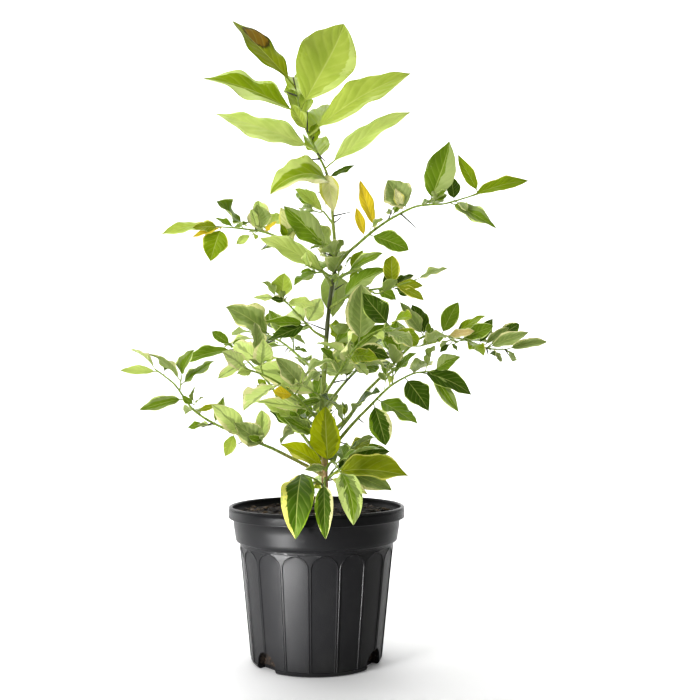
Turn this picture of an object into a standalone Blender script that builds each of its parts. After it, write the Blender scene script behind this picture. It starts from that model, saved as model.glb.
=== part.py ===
"""A variegated lemon tree in a fluted nursery pot, 0.92 m tall, in metres with +Z up.

The origin is the centre of the pot's flat underside, and -Y is the front. A trunk carries tapering
boughs. Each bough ends where its foliage starts: a stem that runs on from the bough, with side
twigs and leaves that grow from it by one seeded rule, and a few leaves that are set by hand.
"""

import math
import random
from dataclasses import dataclass, field

import bmesh
import bpy
import numpy as np
from mathutils import Matrix, Vector

# Fits and finish
GAP = 0.0003  # between pieces that touch
WELD = 1e-6
UP = Vector((0.0, 0.0, 1.0))
FRONT = Vector((0.0, -1.0, 0.25)).normalized()

# Pot
POT_HEIGHT = 0.216
RIM_RADIUS = 0.125
RIM_WIDTH = 0.0055
LIP_HEIGHT = 0.016
LIP_SLOPE = 0.006  # the height over which the inner wall opens out to the rim
BAND_TOP_RADIUS = 0.1185
BAND_FOOT_RADIUS = 0.1145
BAND_FOOT = 0.1695
SHOULDER_FOOT = 0.1655
BODY_RADIUS = 0.1087
BASE_RADIUS = 0.0915
BASE_ROUNDING = 0.005
WALL = 0.004
FLOOR = 0.004
POT_SIDES = 45
FLUTES = 17
FLUTE_TOP = 0.160
FLUTE_FOOT = 0.006
FLUTE_DEPTH = 0.0022
FLUTE_SHARE = 0.86  # of the room that each flute has
FIRST_FLUTE = math.radians(7.6)
NOTCH_TURNS = (62, 188, 313.5)  # in degrees round from the front
NOTCH_WIDTH = 0.037
NOTCH_HEIGHT = 0.026
NOTCH_DEPTH = 0.014
ARCH_STEPS = 6
SOIL_TOP = 0.205

# Wood
TRUNK_TOP = 0.660
FLARE_RADIUS = 0.0085
FLARE_HEIGHT = 0.022
ROUTE_STEP = 0.018
COLLAR_SHARE = 0.3  # how much thicker a bough is at its root
COLLAR_LENGTH = 0.014

# Foliage
GOLDEN_ANGLE = math.radians(137.5)
FIRST_NODE = 0.1
TWIG_INTERNODE = 0.014
TWIG_RADIUS = 0.0012
SHOOT_TIP_RADIUS = 0.0009
STALK_SHARE = 0.12  # of a leaf's length, before its blade starts
STALK_RADIUS = 0.0005
STALK_SUNK = 0.0001  # past the middle of the twig
LEAF_THICKNESS = 0.024  # of a leaf's length, at the midrib
FOLD = 0.16  # how far a leaf's edges stand above its midrib, of its half width
SAMPLE_STEP = 0.008
LEAF_CLEARANCE = 0.0065
LIMB_CLEARANCE = 0.0025
ROOT_REACH = 0.014  # round a leaf's foot, where its own twig may be near
TRIES = 7
SHRINK = 0.94  # of the size, at each further try


@dataclass(frozen=True)
class SetLeaf:
    """A leaf set by hand: its share along the stem, where its tip lies in degrees round and up, and its size."""

    at: float
    heading: float
    rise: float
    length: float
    width: float
    show: float = 0.4  # 0 turns its upper face to the sky, 1 to the front
    bend: float = 25.0


@dataclass(frozen=True)
class Branch:
    """A bough with the foliage at its end, on one route that starts on the trunk's axis."""

    route: tuple[tuple[float, float, float], ...]
    bare: float  # the length of bough before its foliage, 0 where a shoot leafs from the trunk on
    radius: float
    leaf: float
    twig: float
    seed: int
    colour: tuple[float, float, float]
    internode: float  # between the leaves and twigs that grow by the rule
    set_leaves: tuple[SetLeaf, ...] = ()


LIME = (0.40, 0.55, 0.09)
LEAF_GREEN = (0.16, 0.33, 0.06)
GREY_GREEN = (0.30, 0.42, 0.18)
PALE_GREEN = (0.46, 0.55, 0.24)

TRUNK_ROUTE = (
    (0.012, 0.000, SOIL_TOP + GAP),
    (0.012, 0.000, 0.222),
    (0.010, 0.001, 0.294),
    (0.007, 0.002, 0.343),
    (0.013, 0.003, 0.451),
    (0.018, 0.003, 0.509),
    (0.026, 0.003, 0.565),
    (0.023, 0.003, 0.619),
    (0.017, 0.002, 0.685),
    (0.001, 0.001, 0.722),
    (-0.021, 0.000, 0.771),
    (-0.036, -0.001, 0.838),
)
TRUNK_RADIUS = 0.0048
LEADER_TIP_RADIUS = 0.0011
TOP_LEAVES = (
    SetLeaf(0.91, 180, 47, 0.138, 0.046, 0.6, 15),
    SetLeaf(0.71, 0, 64, 0.146, 0.084, 1.0, 12),
    SetLeaf(0.49, 350, 29, 0.176, 0.050, 0.8, 35),
    SetLeaf(0.67, 189, 18, 0.154, 0.046, 0.8, 30),
    SetLeaf(0.35, 186, 19, 0.160, 0.050, 0.8, 30),
    SetLeaf(0.19, 353, 32, 0.150, 0.032, 0.8, 20),
    SetLeaf(0.03, 200, -12, 0.118, 0.060, 0.7, 135),
    SetLeaf(0.18, 312, -74, 0.070, 0.030, 1.0, 15),
    SetLeaf(0.11, 354, 24, 0.044, 0.012, 0.8, 15),
    SetLeaf(0.40, 75, 68, 0.042, 0.020, 0.1, 10),
    SetLeaf(0.53, 212, 55, 0.046, 0.022, 0.9, 15),
    SetLeaf(0.80, 80, 40, 0.115, 0.052, 0.1, 25),
    SetLeaf(0.62, 108, 52, 0.105, 0.044, 0.1, 20),
    SetLeaf(0.45, 72, 46, 0.110, 0.044, 0.1, 25),
    SetLeaf(0.26, 104, 36, 0.100, 0.040, 0.1, 25),
)

BRANCHES = {
    "upper_right": Branch(
        ((0.026, 0.003, 0.556), (0.046, -0.002, 0.580), (0.066, -0.006, 0.597), (0.098, -0.012, 0.621),
         (0.143, -0.018, 0.643), (0.181, -0.020, 0.646), (0.231, -0.022, 0.660)),
        0.050, 0.0026, 0.066, 0.030, 11, GREY_GREEN, 0.050,
        (
            SetLeaf(0.06, 227, 66, 0.046, 0.014, 0.9, 10),
            SetLeaf(0.16, 213, 69, 0.074, 0.020, 0.9, 25),
            SetLeaf(0.41, 223, 64, 0.036, 0.016, 0.8, 15),
            SetLeaf(0.45, 189, 55, 0.052, 0.046, 1.0, 15),
            SetLeaf(0.62, 341, 72, 0.096, 0.044, 1.0, 12),
            SetLeaf(0.81, 106, 78, 0.038, 0.022, 1.0, 10),
            SetLeaf(1.00, 198, 60, 0.064, 0.018, 0.9, 30),
            SetLeaf(0.93, 6, 16, 0.092, 0.022, 0.8, 30),
            SetLeaf(0.77, 339, -32, 0.082, 0.026, 0.9, 25),
        ),
    ),
    "upper_left": Branch(
        ((0.021, 0.003, 0.530), (0.004, 0.008, 0.557), (-0.028, 0.014, 0.584), (-0.060, 0.020, 0.606),
         (-0.083, 0.022, 0.614), (-0.115, 0.024, 0.619), (-0.150, 0.025, 0.622)),
        0.072, 0.0027, 0.066, 0.028, 23, PALE_GREEN, 0.050,
        (
            SetLeaf(0.08, 212, 68, 0.062, 0.022, 0.9, 15),
            SetLeaf(0.50, 235, 75, 0.040, 0.036, 1.0, 15),
            SetLeaf(0.55, 243, 60, 0.034, 0.014, 1.0, 10),
            SetLeaf(0.47, 330, 30, 0.028, 0.012, 0.8, 15),
            SetLeaf(0.80, 175, 28, 0.034, 0.012, 0.7, 15),
            SetLeaf(0.82, 335, 12, 0.030, 0.010, 0.7, 20),
            SetLeaf(0.95, 215, -72, 0.056, 0.038, 0.9, 15),
            SetLeaf(0.93, 200, -22, 0.050, 0.012, 0.8, 15),
            SetLeaf(0.97, 200, -6, 0.040, 0.020, 0.8, 20),
            SetLeaf(1.00, 178, -8, 0.086, 0.024, 0.7, 30),
        ),
    ),
    "mid_left": Branch(
        ((0.012, 0.003, 0.455), (-0.004, 0.002, 0.464), (-0.020, 0.000, 0.480), (-0.045, -0.004, 0.506),
         (-0.060, -0.006, 0.513)),
        0.030, 0.0020, 0.056, 0.024, 31, GREY_GREEN, 0.032,
        (
            SetLeaf(0.02, 199, -21, 0.066, 0.024, 0.8, 30),
            SetLeaf(0.06, 190, 2, 0.062, 0.018, 0.8, 20),
            SetLeaf(0.05, 327, 57, 0.044, 0.030, 1.0, 15),
            SetLeaf(0.75, 336, -11, 0.050, 0.022, 0.8, 25),
            SetLeaf(0.84, 350, 85, 0.040, 0.030, 1.0, 12),
            SetLeaf(0.98, 180, -1, 0.034, 0.013, 0.8, 15),
        ),
    ),
    "mid_right": Branch(
        ((0.018, 0.003, 0.498), (0.048, -0.014, 0.515), (0.080, -0.025, 0.522), (0.112, -0.034, 0.526),
         (0.140, -0.040, 0.534)),
        0.020, 0.0023, 0.062, 0.030, 47, LEAF_GREEN, 0.034,
        (
            SetLeaf(0.03, 342, 31, 0.084, 0.028, 0.7, 70),
            SetLeaf(0.08, 325, -4, 0.044, 0.020, 0.8, 20),
            SetLeaf(0.50, 340, -30, 0.034, 0.018, 0.9, 15),
            SetLeaf(0.55, 8, 41, 0.034, 0.018, 0.9, 15),
            SetLeaf(0.67, 13, 27, 0.040, 0.014, 0.8, 20),
            SetLeaf(0.70, 348, -1, 0.044, 0.016, 0.8, 20),
            SetLeaf(0.74, 336, -28, 0.048, 0.015, 0.8, 20),
        ),
    ),
    "lower_right_high": Branch(
        ((0.009, 0.002, 0.308), (0.047, 0.012, 0.343), (0.070, 0.018, 0.376), (0.099, 0.026, 0.405),
         (0.118, 0.030, 0.426), (0.145, 0.032, 0.452), (0.170, 0.034, 0.462), (0.220, 0.036, 0.454),
         (0.252, 0.038, 0.442), (0.280, 0.040, 0.441)),
        0.140, 0.0031, 0.060, 0.036, 53, LEAF_GREEN, 0.036,
        (
            SetLeaf(0.13, 215, 84, 0.056, 0.040, 1.0, 15),
            SetLeaf(0.39, 150, 64, 0.054, 0.028, 0.9, 20),
            SetLeaf(0.37, 199, 53, 0.064, 0.026, 0.8, 25),
            SetLeaf(0.50, 348, 62, 0.056, 0.026, 0.9, 20),
            SetLeaf(0.58, 4, 32, 0.062, 0.018, 0.7, 25),
            SetLeaf(0.54, 336, 8, 0.044, 0.018, 0.8, 20),
            SetLeaf(0.66, 342, 22, 0.050, 0.024, 0.9, 25),
            SetLeaf(0.79, 348, 62, 0.044, 0.018, 0.9, 20),
            SetLeaf(0.82, 14, 34, 0.052, 0.014, 0.7, 20),
            SetLeaf(0.86, 348, 21, 0.066, 0.022, 0.8, 40),
            SetLeaf(1.00, 0, 10, 0.062, 0.018, 0.8, 20),
        ),
    ),
    "lower_right_low": Branch(
        ((0.011, 0.000, 0.282), (0.045, -0.022, 0.325), (0.075, -0.045, 0.357), (0.105, -0.062, 0.386),
         (0.137, -0.075, 0.402), (0.160, -0.082, 0.404)),
        0.112, 0.0029, 0.066, 0.034, 61, GREY_GREEN, 0.032,
        (
            SetLeaf(0.03, 323, -70, 0.064, 0.032, 0.9, 45),
            SetLeaf(0.60, 340, -54, 0.058, 0.036, 0.9, 30),
            SetLeaf(0.82, 354, -24, 0.078, 0.028, 0.7, 50),
            SetLeaf(0.94, 350, -54, 0.070, 0.020, 0.8, 40),
        ),
    ),
    "lower_left_high": Branch(
        ((0.006, 0.002, 0.280), (-0.024, 0.014, 0.318), (-0.050, 0.025, 0.347), (-0.066, 0.033, 0.382),
         (-0.084, 0.040, 0.402), (-0.104, 0.046, 0.422), (-0.131, 0.052, 0.448)),
        0.110, 0.0027, 0.062, 0.026, 71, LEAF_GREEN, 0.050,
        (
            SetLeaf(0.91, 186, -15, 0.098, 0.022, 0.7, 40),
            SetLeaf(1.00, 180, 35, 0.036, 0.018, 0.9, 12),
            SetLeaf(1.00, 350, 16, 0.022, 0.012, 0.8, 10),
            SetLeaf(0.66, 200, -28, 0.054, 0.020, 0.8, 35),
            SetLeaf(0.70, 347, 23, 0.038, 0.018, 0.7, 30),
            SetLeaf(0.23, 342, 5, 0.040, 0.018, 0.7, 45),
        ),
    ),
    "lower_left_low": Branch(
        ((0.010, 0.000, 0.258), (-0.026, -0.010, 0.278), (-0.062, -0.020, 0.297), (-0.095, -0.028, 0.311),
         (-0.145, -0.037, 0.334), (-0.174, -0.040, 0.355), (-0.196, -0.042, 0.386), (-0.224, -0.044, 0.408)),
        0.080, 0.0028, 0.062, 0.028, 83, GREY_GREEN, 0.050,
        (
            SetLeaf(0.97, 180, 2, 0.054, 0.014, 0.8, 12),
            SetLeaf(0.71, 190, -13, 0.066, 0.020, 0.8, 45),
            SetLeaf(0.60, 354, 16, 0.036, 0.010, 0.8, 15),
            SetLeaf(0.45, 15, 72, 0.040, 0.014, 0.9, 10),
            SetLeaf(0.30, 222, -64, 0.036, 0.018, 0.9, 15),
            SetLeaf(0.22, 204, 43, 0.070, 0.030, 0.9, 40),
            SetLeaf(0.08, 214, 34, 0.058, 0.034, 0.9, 20),
        ),
    ),
    "front_right": Branch(
        ((0.010, 0.002, 0.372), (0.032, -0.040, 0.404), (0.050, -0.076, 0.430), (0.072, -0.112, 0.450),
         (0.100, -0.150, 0.460)),
        0.036, 0.0024, 0.068, 0.034, 97, PALE_GREEN, 0.038,
        (
            SetLeaf(0.98, 200, 48, 0.056, 0.032, 0.9, 15),
            SetLeaf(0.35, 345, 39, 0.070, 0.024, 0.8, 35),
            SetLeaf(0.49, 348, -18, 0.050, 0.024, 0.9, 30),
            SetLeaf(0.06, 330, 62, 0.050, 0.040, 1.0, 15),
        ),
    ),
    "front_left": Branch(
        ((0.008, 0.002, 0.330), (-0.018, -0.044, 0.360), (-0.040, -0.082, 0.382), (-0.062, -0.118, 0.396),
         (-0.088, -0.152, 0.406)),
        0.030, 0.0024, 0.068, 0.034, 101, PALE_GREEN, 0.042,
        (
            SetLeaf(0.08, 198, 8, 0.080, 0.018, 0.8, 20),
            SetLeaf(0.33, 192, 10, 0.030, 0.020, 1.0, 15),
        ),
    ),
    "back_high": Branch(
        ((0.019, 0.003, 0.512), (0.027, 0.042, 0.540), (0.030, 0.078, 0.560), (0.028, 0.112, 0.572),
         (0.022, 0.148, 0.584)),
        0.040, 0.0024, 0.074, 0.036, 113, GREY_GREEN, 0.024,
    ),
    "back_right": Branch(
        ((0.008, 0.002, 0.350), (0.040, 0.052, 0.392), (0.068, 0.092, 0.420), (0.096, 0.126, 0.438),
         (0.126, 0.158, 0.448)),
        0.060, 0.0027, 0.074, 0.040, 127, LEAF_GREEN, 0.024,
    ),
    "back_left": Branch(
        ((0.010, 0.002, 0.396), (-0.026, 0.046, 0.428), (-0.054, 0.084, 0.452), (-0.080, 0.116, 0.466),
         (-0.108, 0.146, 0.474)),
        0.050, 0.0026, 0.074, 0.038, 131, GREY_GREEN, 0.024,
    ),
    "back_low": Branch(
        ((0.011, 0.001, 0.272), (0.004, 0.052, 0.302), (-0.006, 0.096, 0.322), (-0.018, 0.136, 0.334),
         (-0.034, 0.172, 0.340)),
        0.060, 0.0027, 0.074, 0.038, 139, LEAF_GREEN, 0.024,
    ),
    "collar_front": Branch(
        ((0.012, 0.000, 0.264), (0.020, -0.028, 0.278), (0.028, -0.054, 0.278), (0.034, -0.076, 0.268)),
        0.0, 0.0021, 0.066, 0.0, 149, LEAF_GREEN, 0.030,
        (
            SetLeaf(1.00, 288, -48, 0.096, 0.032, 0.5, 95),
            SetLeaf(0.20, 258, 80, 0.086, 0.044, 1.0, 12),
            SetLeaf(0.04, 198, 29, 0.080, 0.028, 0.8, 50),
            SetLeaf(0.14, 206, -4, 0.036, 0.014, 0.8, 30),
        ),
    ),
    "collar_low": Branch(
        ((0.012, 0.000, 0.234), (0.013, -0.052, 0.258), (0.013, -0.108, 0.256)),
        0.0, 0.0018, 0.060, 0.0, 157, LEAF_GREEN, 0.060,
        (SetLeaf(1.00, 275, -58, 0.084, 0.024, 0.5, 70),),
    ),
    "collar_right": Branch(
        ((0.012, 0.000, 0.250), (0.034, -0.010, 0.268), (0.056, -0.020, 0.278)),
        0.0, 0.0020, 0.066, 0.024, 151, LEAF_GREEN, 0.032,
        (
            SetLeaf(0.30, 340, 0, 0.116, 0.046, 0.7, 60),
            SetLeaf(0.12, 324, -16, 0.072, 0.018, 0.8, 30),
            SetLeaf(0.50, 344, -20, 0.082, 0.030, 0.8, 25),
        ),
    ),
    "collar_left": Branch(
        ((0.012, 0.000, 0.240), (-0.004, -0.030, 0.256), (-0.018, -0.062, 0.264)),
        0.0, 0.0019, 0.060, 0.0, 163, GREY_GREEN, 0.040,
        (SetLeaf(1.00, 267, -46, 0.122, 0.044, 0.5, 100),),
    ),
    "collar_back": Branch(
        ((0.012, 0.000, 0.246), (0.022, 0.026, 0.262), (0.036, 0.052, 0.272)),
        0.0, 0.0020, 0.072, 0.024, 167, GREY_GREEN, 0.024,
    ),
    "heart_right": Branch(
        ((0.010, 0.001, 0.300), (0.032, -0.018, 0.322), (0.050, -0.030, 0.344)),
        0.0, 0.0019, 0.068, 0.024, 197, LEAF_GREEN, 0.026,
    ),
    "heart_left": Branch(
        ((0.008, 0.002, 0.306), (-0.014, -0.012, 0.326), (-0.034, -0.020, 0.340)),
        0.0, 0.0019, 0.066, 0.024, 199, PALE_GREEN, 0.026,
        (SetLeaf(0.26, 200, 28, 0.054, 0.024, 0.8, 20),),
    ),
    "spur_left_mid": Branch(
        ((0.010, 0.002, 0.364), (0.001, -0.014, 0.374), (-0.006, -0.026, 0.378)),
        0.0, 0.0015, 0.058, 0.0, 193, PALE_GREEN, 0.040,
        (SetLeaf(0.40, 196, 22, 0.112, 0.042, 0.8, 60), SetLeaf(0.10, 204, -12, 0.040, 0.014, 0.8, 30)),
    ),
    "spur_left": Branch(
        ((0.026, 0.003, 0.572), (0.010, -0.008, 0.588), (-0.006, -0.014, 0.598)),
        0.0, 0.0015, 0.060, 0.020, 173, GREY_GREEN, 0.040,
        (SetLeaf(0.29, 188, 44, 0.094, 0.040, 0.8, 20),),
    ),
    "spur_left_low": Branch(
        ((0.024, 0.003, 0.544), (0.008, -0.010, 0.548), (-0.008, -0.020, 0.556)),
        0.0, 0.0014, 0.060, 0.018, 179, GREY_GREEN, 0.040,
        (SetLeaf(0.20, 193, 26, 0.114, 0.036, 0.8, 25), SetLeaf(0.45, 163, 45, 0.056, 0.018, 0.8, 20)),
    ),
    "spur_right": Branch(
        ((0.022, 0.003, 0.536), (0.038, -0.008, 0.546), (0.054, -0.016, 0.552)),
        0.0, 0.0015, 0.058, 0.020, 181, LEAF_GREEN, 0.036,
        (SetLeaf(0.70, 330, 22, 0.064, 0.020, 0.7, 30), SetLeaf(0.85, 10, 60, 0.036, 0.018, 0.9, 15)),
    ),
    "spur_back": Branch(
        ((0.022, 0.003, 0.622), (0.008, 0.014, 0.642), (-0.008, 0.024, 0.652)),
        0.0, 0.0014, 0.058, 0.020, 191, GREY_GREEN, 0.030,
        (SetLeaf(0.46, 195, 37, 0.058, 0.020, 0.8, 30),),
    ),
    "spur_right_low": Branch(
        ((0.016, 0.003, 0.438), (0.030, -0.008, 0.448), (0.042, -0.014, 0.452)),
        0.0, 0.0015, 0.058, 0.020, 211, LEAF_GREEN, 0.030,
        (SetLeaf(0.15, 342, 16, 0.092, 0.026, 0.7, 75), SetLeaf(0.90, 12, 40, 0.040, 0.018, 0.9, 15)),
    ),
}


@dataclass
class Line:
    """A smooth tapering path: its places, radii and the length run at each place."""

    places: list[Vector]
    radii: list[float]
    runs: list[float] = field(default_factory=list)

    def __post_init__(self):
        self.runs = [0.0]
        for before, after in zip(self.places, self.places[1:]):
            self.runs.append(self.runs[-1] + (after - before).length)

    @property
    def length(self):
        return self.runs[-1]

    def at(self, run):
        """The place, radius and direction after this length of the path."""
        run = min(max(run, 0.0), self.length)
        k = next(i for i in range(1, len(self.runs)) if self.runs[i] >= run - 1e-9)
        share = (run - self.runs[k - 1]) / (self.runs[k] - self.runs[k - 1])
        place = self.places[k - 1].lerp(self.places[k], share)
        radius = self.radii[k - 1] + (self.radii[k] - self.radii[k - 1]) * share
        return place, radius, (self.places[k] - self.places[k - 1]).normalized()

    def part(self, start, end):
        """The stretch of the path between two lengths."""
        inner = [k for k, run in enumerate(self.runs) if start + 1e-3 < run < end - 1e-3]
        ends = self.at(start), self.at(end)
        return Line(
            [ends[0][0], *(self.places[k] for k in inner), ends[1][0]],
            [ends[0][1], *(self.radii[k] for k in inner), ends[1][1]],
        )

    def samples(self, step):
        """Places and radii about every step along the path, as arrays."""
        count = max(2, round(self.length / step) + 1)
        found = [self.at(self.length * k / (count - 1)) for k in range(count)]
        return np.array([place for place, _, _ in found]), np.array([radius for _, radius, _ in found])


def smooth_line(route, first_radius, last_radius):
    """A Catmull-Rom curve through the route, with an even taper."""
    points = [Vector(place) for place in route]
    points = [2 * points[0] - points[1], *points, 2 * points[-1] - points[-2]]
    places = [points[1]]
    for a, b, c, d in zip(points, points[1:], points[2:], points[3:]):
        steps = max(1, round((c - b).length / ROUTE_STEP))
        for k in range(1, steps + 1):
            t = k / steps
            places.append(
                0.5 * (2 * b + (c - a) * t + (2 * a - 5 * b + 4 * c - d) * t**2 + (3 * b - a - 3 * c + d) * t**3)
            )
    line = Line(places, [first_radius] * len(places))
    line.radii = [first_radius + (last_radius - first_radius) * run / line.length for run in line.runs]
    return line


def trunk_line():
    """The whole leader from the soil to its tip, flared at the root."""
    line = smooth_line(TRUNK_ROUTE, TRUNK_RADIUS, LEADER_TIP_RADIUS)
    for k, place in enumerate(line.places):
        above = (place.z - SOIL_TOP) / FLARE_HEIGHT
        line.radii[k] += (FLARE_RADIUS - TRUNK_RADIUS) * max(0.0, 1 - above) ** 2
    return line


def branch_line(branch):
    """The whole route of a bough and its shoot, with a collar at the trunk."""
    line = smooth_line(branch.route, branch.radius, SHOOT_TIP_RADIUS + 0.0002)
    for k, run in enumerate(line.runs):
        line.radii[k] *= 1 + COLLAR_SHARE * max(0.0, 1 - run / COLLAR_LENGTH)
    return line


@dataclass(frozen=True)
class Blade:
    """One leaf: where it leaves its twig, the way it sets off, where its upper face looks, and its size."""

    foot: Vector
    along: Vector
    face: Vector
    length: float
    width: float
    bend: float

    @staticmethod
    def aimed(foot, along, look, length, width, bend):
        """A blade with its tip in one direction, whose upper face looks as near to another as it can."""
        chord = along.normalized()
        up = look - chord * look.dot(chord)
        up = (up if up.length > 0.05 else chord.orthogonal()).normalized()
        start = chord * math.cos(bend / 2) + up * math.sin(bend / 2)
        return Blade(foot, start, up * math.cos(bend / 2) - chord * math.sin(bend / 2), length, width, bend)

    def half_width(self, share):
        """Half the blade's width at a share of its length."""
        blade_share = (share - STALK_SHARE) / (1 - STALK_SHARE)
        if blade_share <= 0 or blade_share >= 1:
            return 0.0
        return self.width / 2 * math.sin(math.pi * blade_share**0.85) ** 0.8

    def point(self, share, side, lift=0.0):
        """The place at a share of the length and of the half width, lifted off the blade."""
        turn = self.bend * share
        run = self.length * math.sin(turn) / self.bend
        drop = self.length * (1 - math.cos(turn)) / self.bend
        normal = self.face * math.cos(turn) + self.along * math.sin(turn)
        across = self.along.cross(self.face)
        half = self.half_width(share)
        raised = lift + FOLD * abs(side) * half
        return self.foot + self.along * run - self.face * drop + across * side * half + normal * raised

    def samples(self):
        """Places all over the blade, close enough together to tell what it would touch."""
        rows = max(3, round(self.length / SAMPLE_STEP))
        columns = 2 * max(1, round(self.width / 2 / SAMPLE_STEP)) + 1
        shares = [STALK_SHARE + (1 - STALK_SHARE) * (k + 1) / rows for k in range(rows)]
        sides = [2 * k / (columns - 1) - 1 for k in range(columns)]
        return np.array([self.point(share, side) for share in shares for side in sides])


class Space:
    """The room that is taken, as points with a radius and an owner."""

    def __init__(self):
        self.points = np.empty((0, 3))
        self.radii = np.empty(0)
        self.owners = np.empty(0, dtype=int)
        self.wood = np.empty(0, dtype=bool)

    def take(self, points, radii, owner, wood):
        """Adds points that belong to an owner, which are wood or leaf."""
        self.points = np.vstack([self.points, points])
        self.radii = np.append(self.radii, np.broadcast_to(radii, len(points)))
        self.owners = np.append(self.owners, np.full(len(points), owner))
        self.wood = np.append(self.wood, np.full(len(points), wood))

    def is_free(self, points, clearance, owner, root, reach):
        """Whether the points stay off everything, but for the owner's own growth within reach of the root."""
        low, high = points.min(axis=0) - 0.02, points.max(axis=0) + 0.02
        near = ((self.points > low) & (self.points < high)).all(axis=1)
        near &= (self.owners != owner) | (np.linalg.norm(self.points - np.array(root), axis=1) > reach)
        if not near.any():
            return True
        apart = np.linalg.norm(points[:, None, :] - self.points[near][None, :, :], axis=2)
        needed = np.where(self.wood[near], LIMB_CLEARANCE + self.radii[near], clearance)
        return bool((apart > needed).all())


def clears_pot(points):
    """Whether the points stay above the pot or outside its rim."""
    spread = np.linalg.norm(points[:, :2], axis=1)
    return bool(((points[:, 2] > POT_HEIGHT + 0.005) | (spread > RIM_RADIUS + 0.004)).all())


@dataclass
class Foliage:
    """One mass of leaves: its stem, its side twigs and its blades."""

    owner: int
    stem: Line
    branch: Branch
    twigs: list[Line] = field(default_factory=list)
    blades: list[Blade] = field(default_factory=list)

    def add_blade(self, space, blade, reach=ROOT_REACH):
        """Keeps a blade if its place is free."""
        points = blade.samples()
        free = clears_pot(points) and space.is_free(points, LEAF_CLEARANCE, self.owner, blade.foot, reach)
        if free:
            space.take(points, 0.0, self.owner, False)
            self.blades.append(blade)
        return free

    def add_set_leaves(self, space):
        """The leaves that are set by hand."""
        for leaf in self.branch.set_leaves:
            foot, _, _ = self.stem.at(leaf.at * self.stem.length)
            heading, rise = math.radians(leaf.heading), math.radians(leaf.rise)
            along = Vector(
                (math.cos(heading) * math.cos(rise), math.sin(heading) * math.cos(rise), math.sin(rise))
            )
            look = UP.lerp(FRONT, leaf.show)
            bend = math.radians(leaf.bend)
            self.add_blade(space, Blade.aimed(foot, along, look, leaf.length, leaf.width, bend), leaf.length)

    def try_leaf(self, space, rng, foot, along, size):
        """A leaf near this direction and size, turned and shrunk until it is clear of everything."""
        for attempt in range(TRIES):
            stray = 0.25 + 0.12 * attempt
            way = along + Vector([rng.uniform(-stray, stray) for _ in range(3)])
            look = UP.lerp(FRONT, rng.uniform(0.0, 0.9)) + Vector([rng.uniform(-0.35, 0.35) for _ in range(3)])
            length = size * rng.uniform(0.8, 1.2) * SHRINK**attempt
            width = length * rng.uniform(0.42, 0.58)
            bend = math.radians(rng.uniform(10, 60))
            if self.add_blade(space, Blade.aimed(foot, way, look, length, width, bend)):
                return

    def try_twig(self, space, rng, foot, along, length):
        """A side twig with leaves by turns on either side, where there is room for it."""
        middle = foot + along * length * 0.5
        end = middle + (along + UP * 0.3).normalized() * length * 0.5
        line = smooth_line((foot, middle, end), TWIG_RADIUS, SHOOT_TIP_RADIUS)
        places, radii = line.samples(SAMPLE_STEP / 2)
        if not clears_pot(places) or not space.is_free(places, LEAF_CLEARANCE, self.owner, foot, ROOT_REACH):
            return
        space.take(places, radii, self.owner, True)
        self.twigs.append(line)
        across = along.cross(UP).normalized()
        count = max(1, round(length / TWIG_INTERNODE))
        for k in range(count):
            place, _, way = line.at(line.length * (0.45 + 0.5 * k / count))
            side = across if k % 2 else -across
            self.try_leaf(space, rng, place, way * 0.6 + side * 0.8 + UP * 0.1, self.branch.leaf * 0.85)
        place, _, way = line.at(line.length)
        self.try_leaf(space, rng, place, way, self.branch.leaf * 0.9)

    def grow(self, space):
        """Leaves and side twigs by turns round the stem, a golden angle apart, and a leaf at its tip."""
        rng = random.Random(self.branch.seed)
        count = max(2, round(self.stem.length / self.branch.internode))
        if self.branch.twig:
            tip, _, ahead = self.stem.at(self.stem.length)
            self.try_leaf(space, rng, tip, ahead, self.branch.leaf * 0.8)
        for k in range(count):
            share = FIRST_NODE + (1 - FIRST_NODE) * k / count
            foot, _, ahead = self.stem.at(share * self.stem.length)
            across = ahead.cross(UP).normalized()
            upward = across.cross(ahead)
            turn = k * GOLDEN_ANGLE + self.branch.seed
            out = across * math.cos(turn) + upward * math.sin(turn)
            if k % 2 == 0:
                self.try_leaf(space, rng, foot, ahead * 0.5 + out * 0.85 + UP * 0.1, self.branch.leaf)
            elif self.branch.twig:
                length = self.branch.twig * rng.uniform(0.8, 1.2) * (1.1 - 0.5 * share)
                self.try_twig(space, rng, foot, (ahead * 0.6 + out * 0.8 + UP * 0.15).normalized(), length)


def grow_tree():
    """Lays out the trunk, the boughs and every mass of foliage in the room that they share."""
    space = Space()
    leader = trunk_line()
    trunk_run = next(run for run, place in zip(leader.runs, leader.places) if place.z >= TRUNK_TOP)
    trunk = leader.part(0.0, trunk_run)
    boughs = {}
    top = Branch(TRUNK_ROUTE, trunk_run, TRUNK_RADIUS, 0.085, 0.0, 7, LIME, 0.085, TOP_LEAVES)
    masses = {"top": Foliage(1, leader.part(trunk_run + GAP, leader.length), top)}
    space.take(*trunk.samples(0.003), 0, True)
    for owner, (name, branch) in enumerate(BRANCHES.items(), start=2):
        line = branch_line(branch)
        if branch.bare:
            boughs[name] = line.part(0.0, branch.bare)
            space.take(*boughs[name].samples(0.003), 0, True)
            line = line.part(branch.bare + GAP, line.length)
        masses[name] = Foliage(owner, line, branch)
    for mass in masses.values():
        space.take(*mass.stem.samples(0.003), mass.owner, True)
    for mass in masses.values():
        mass.add_set_leaves(space)
    for mass in masses.values():
        mass.grow(space)
    return trunk, boughs, masses


def clear_scene():
    for obj in list(bpy.data.objects):
        bpy.data.objects.remove(obj, do_unlink=True)


def new_collection(name):
    collection = bpy.data.collections.new(name)
    bpy.context.scene.collection.children.link(collection)
    return collection


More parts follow.
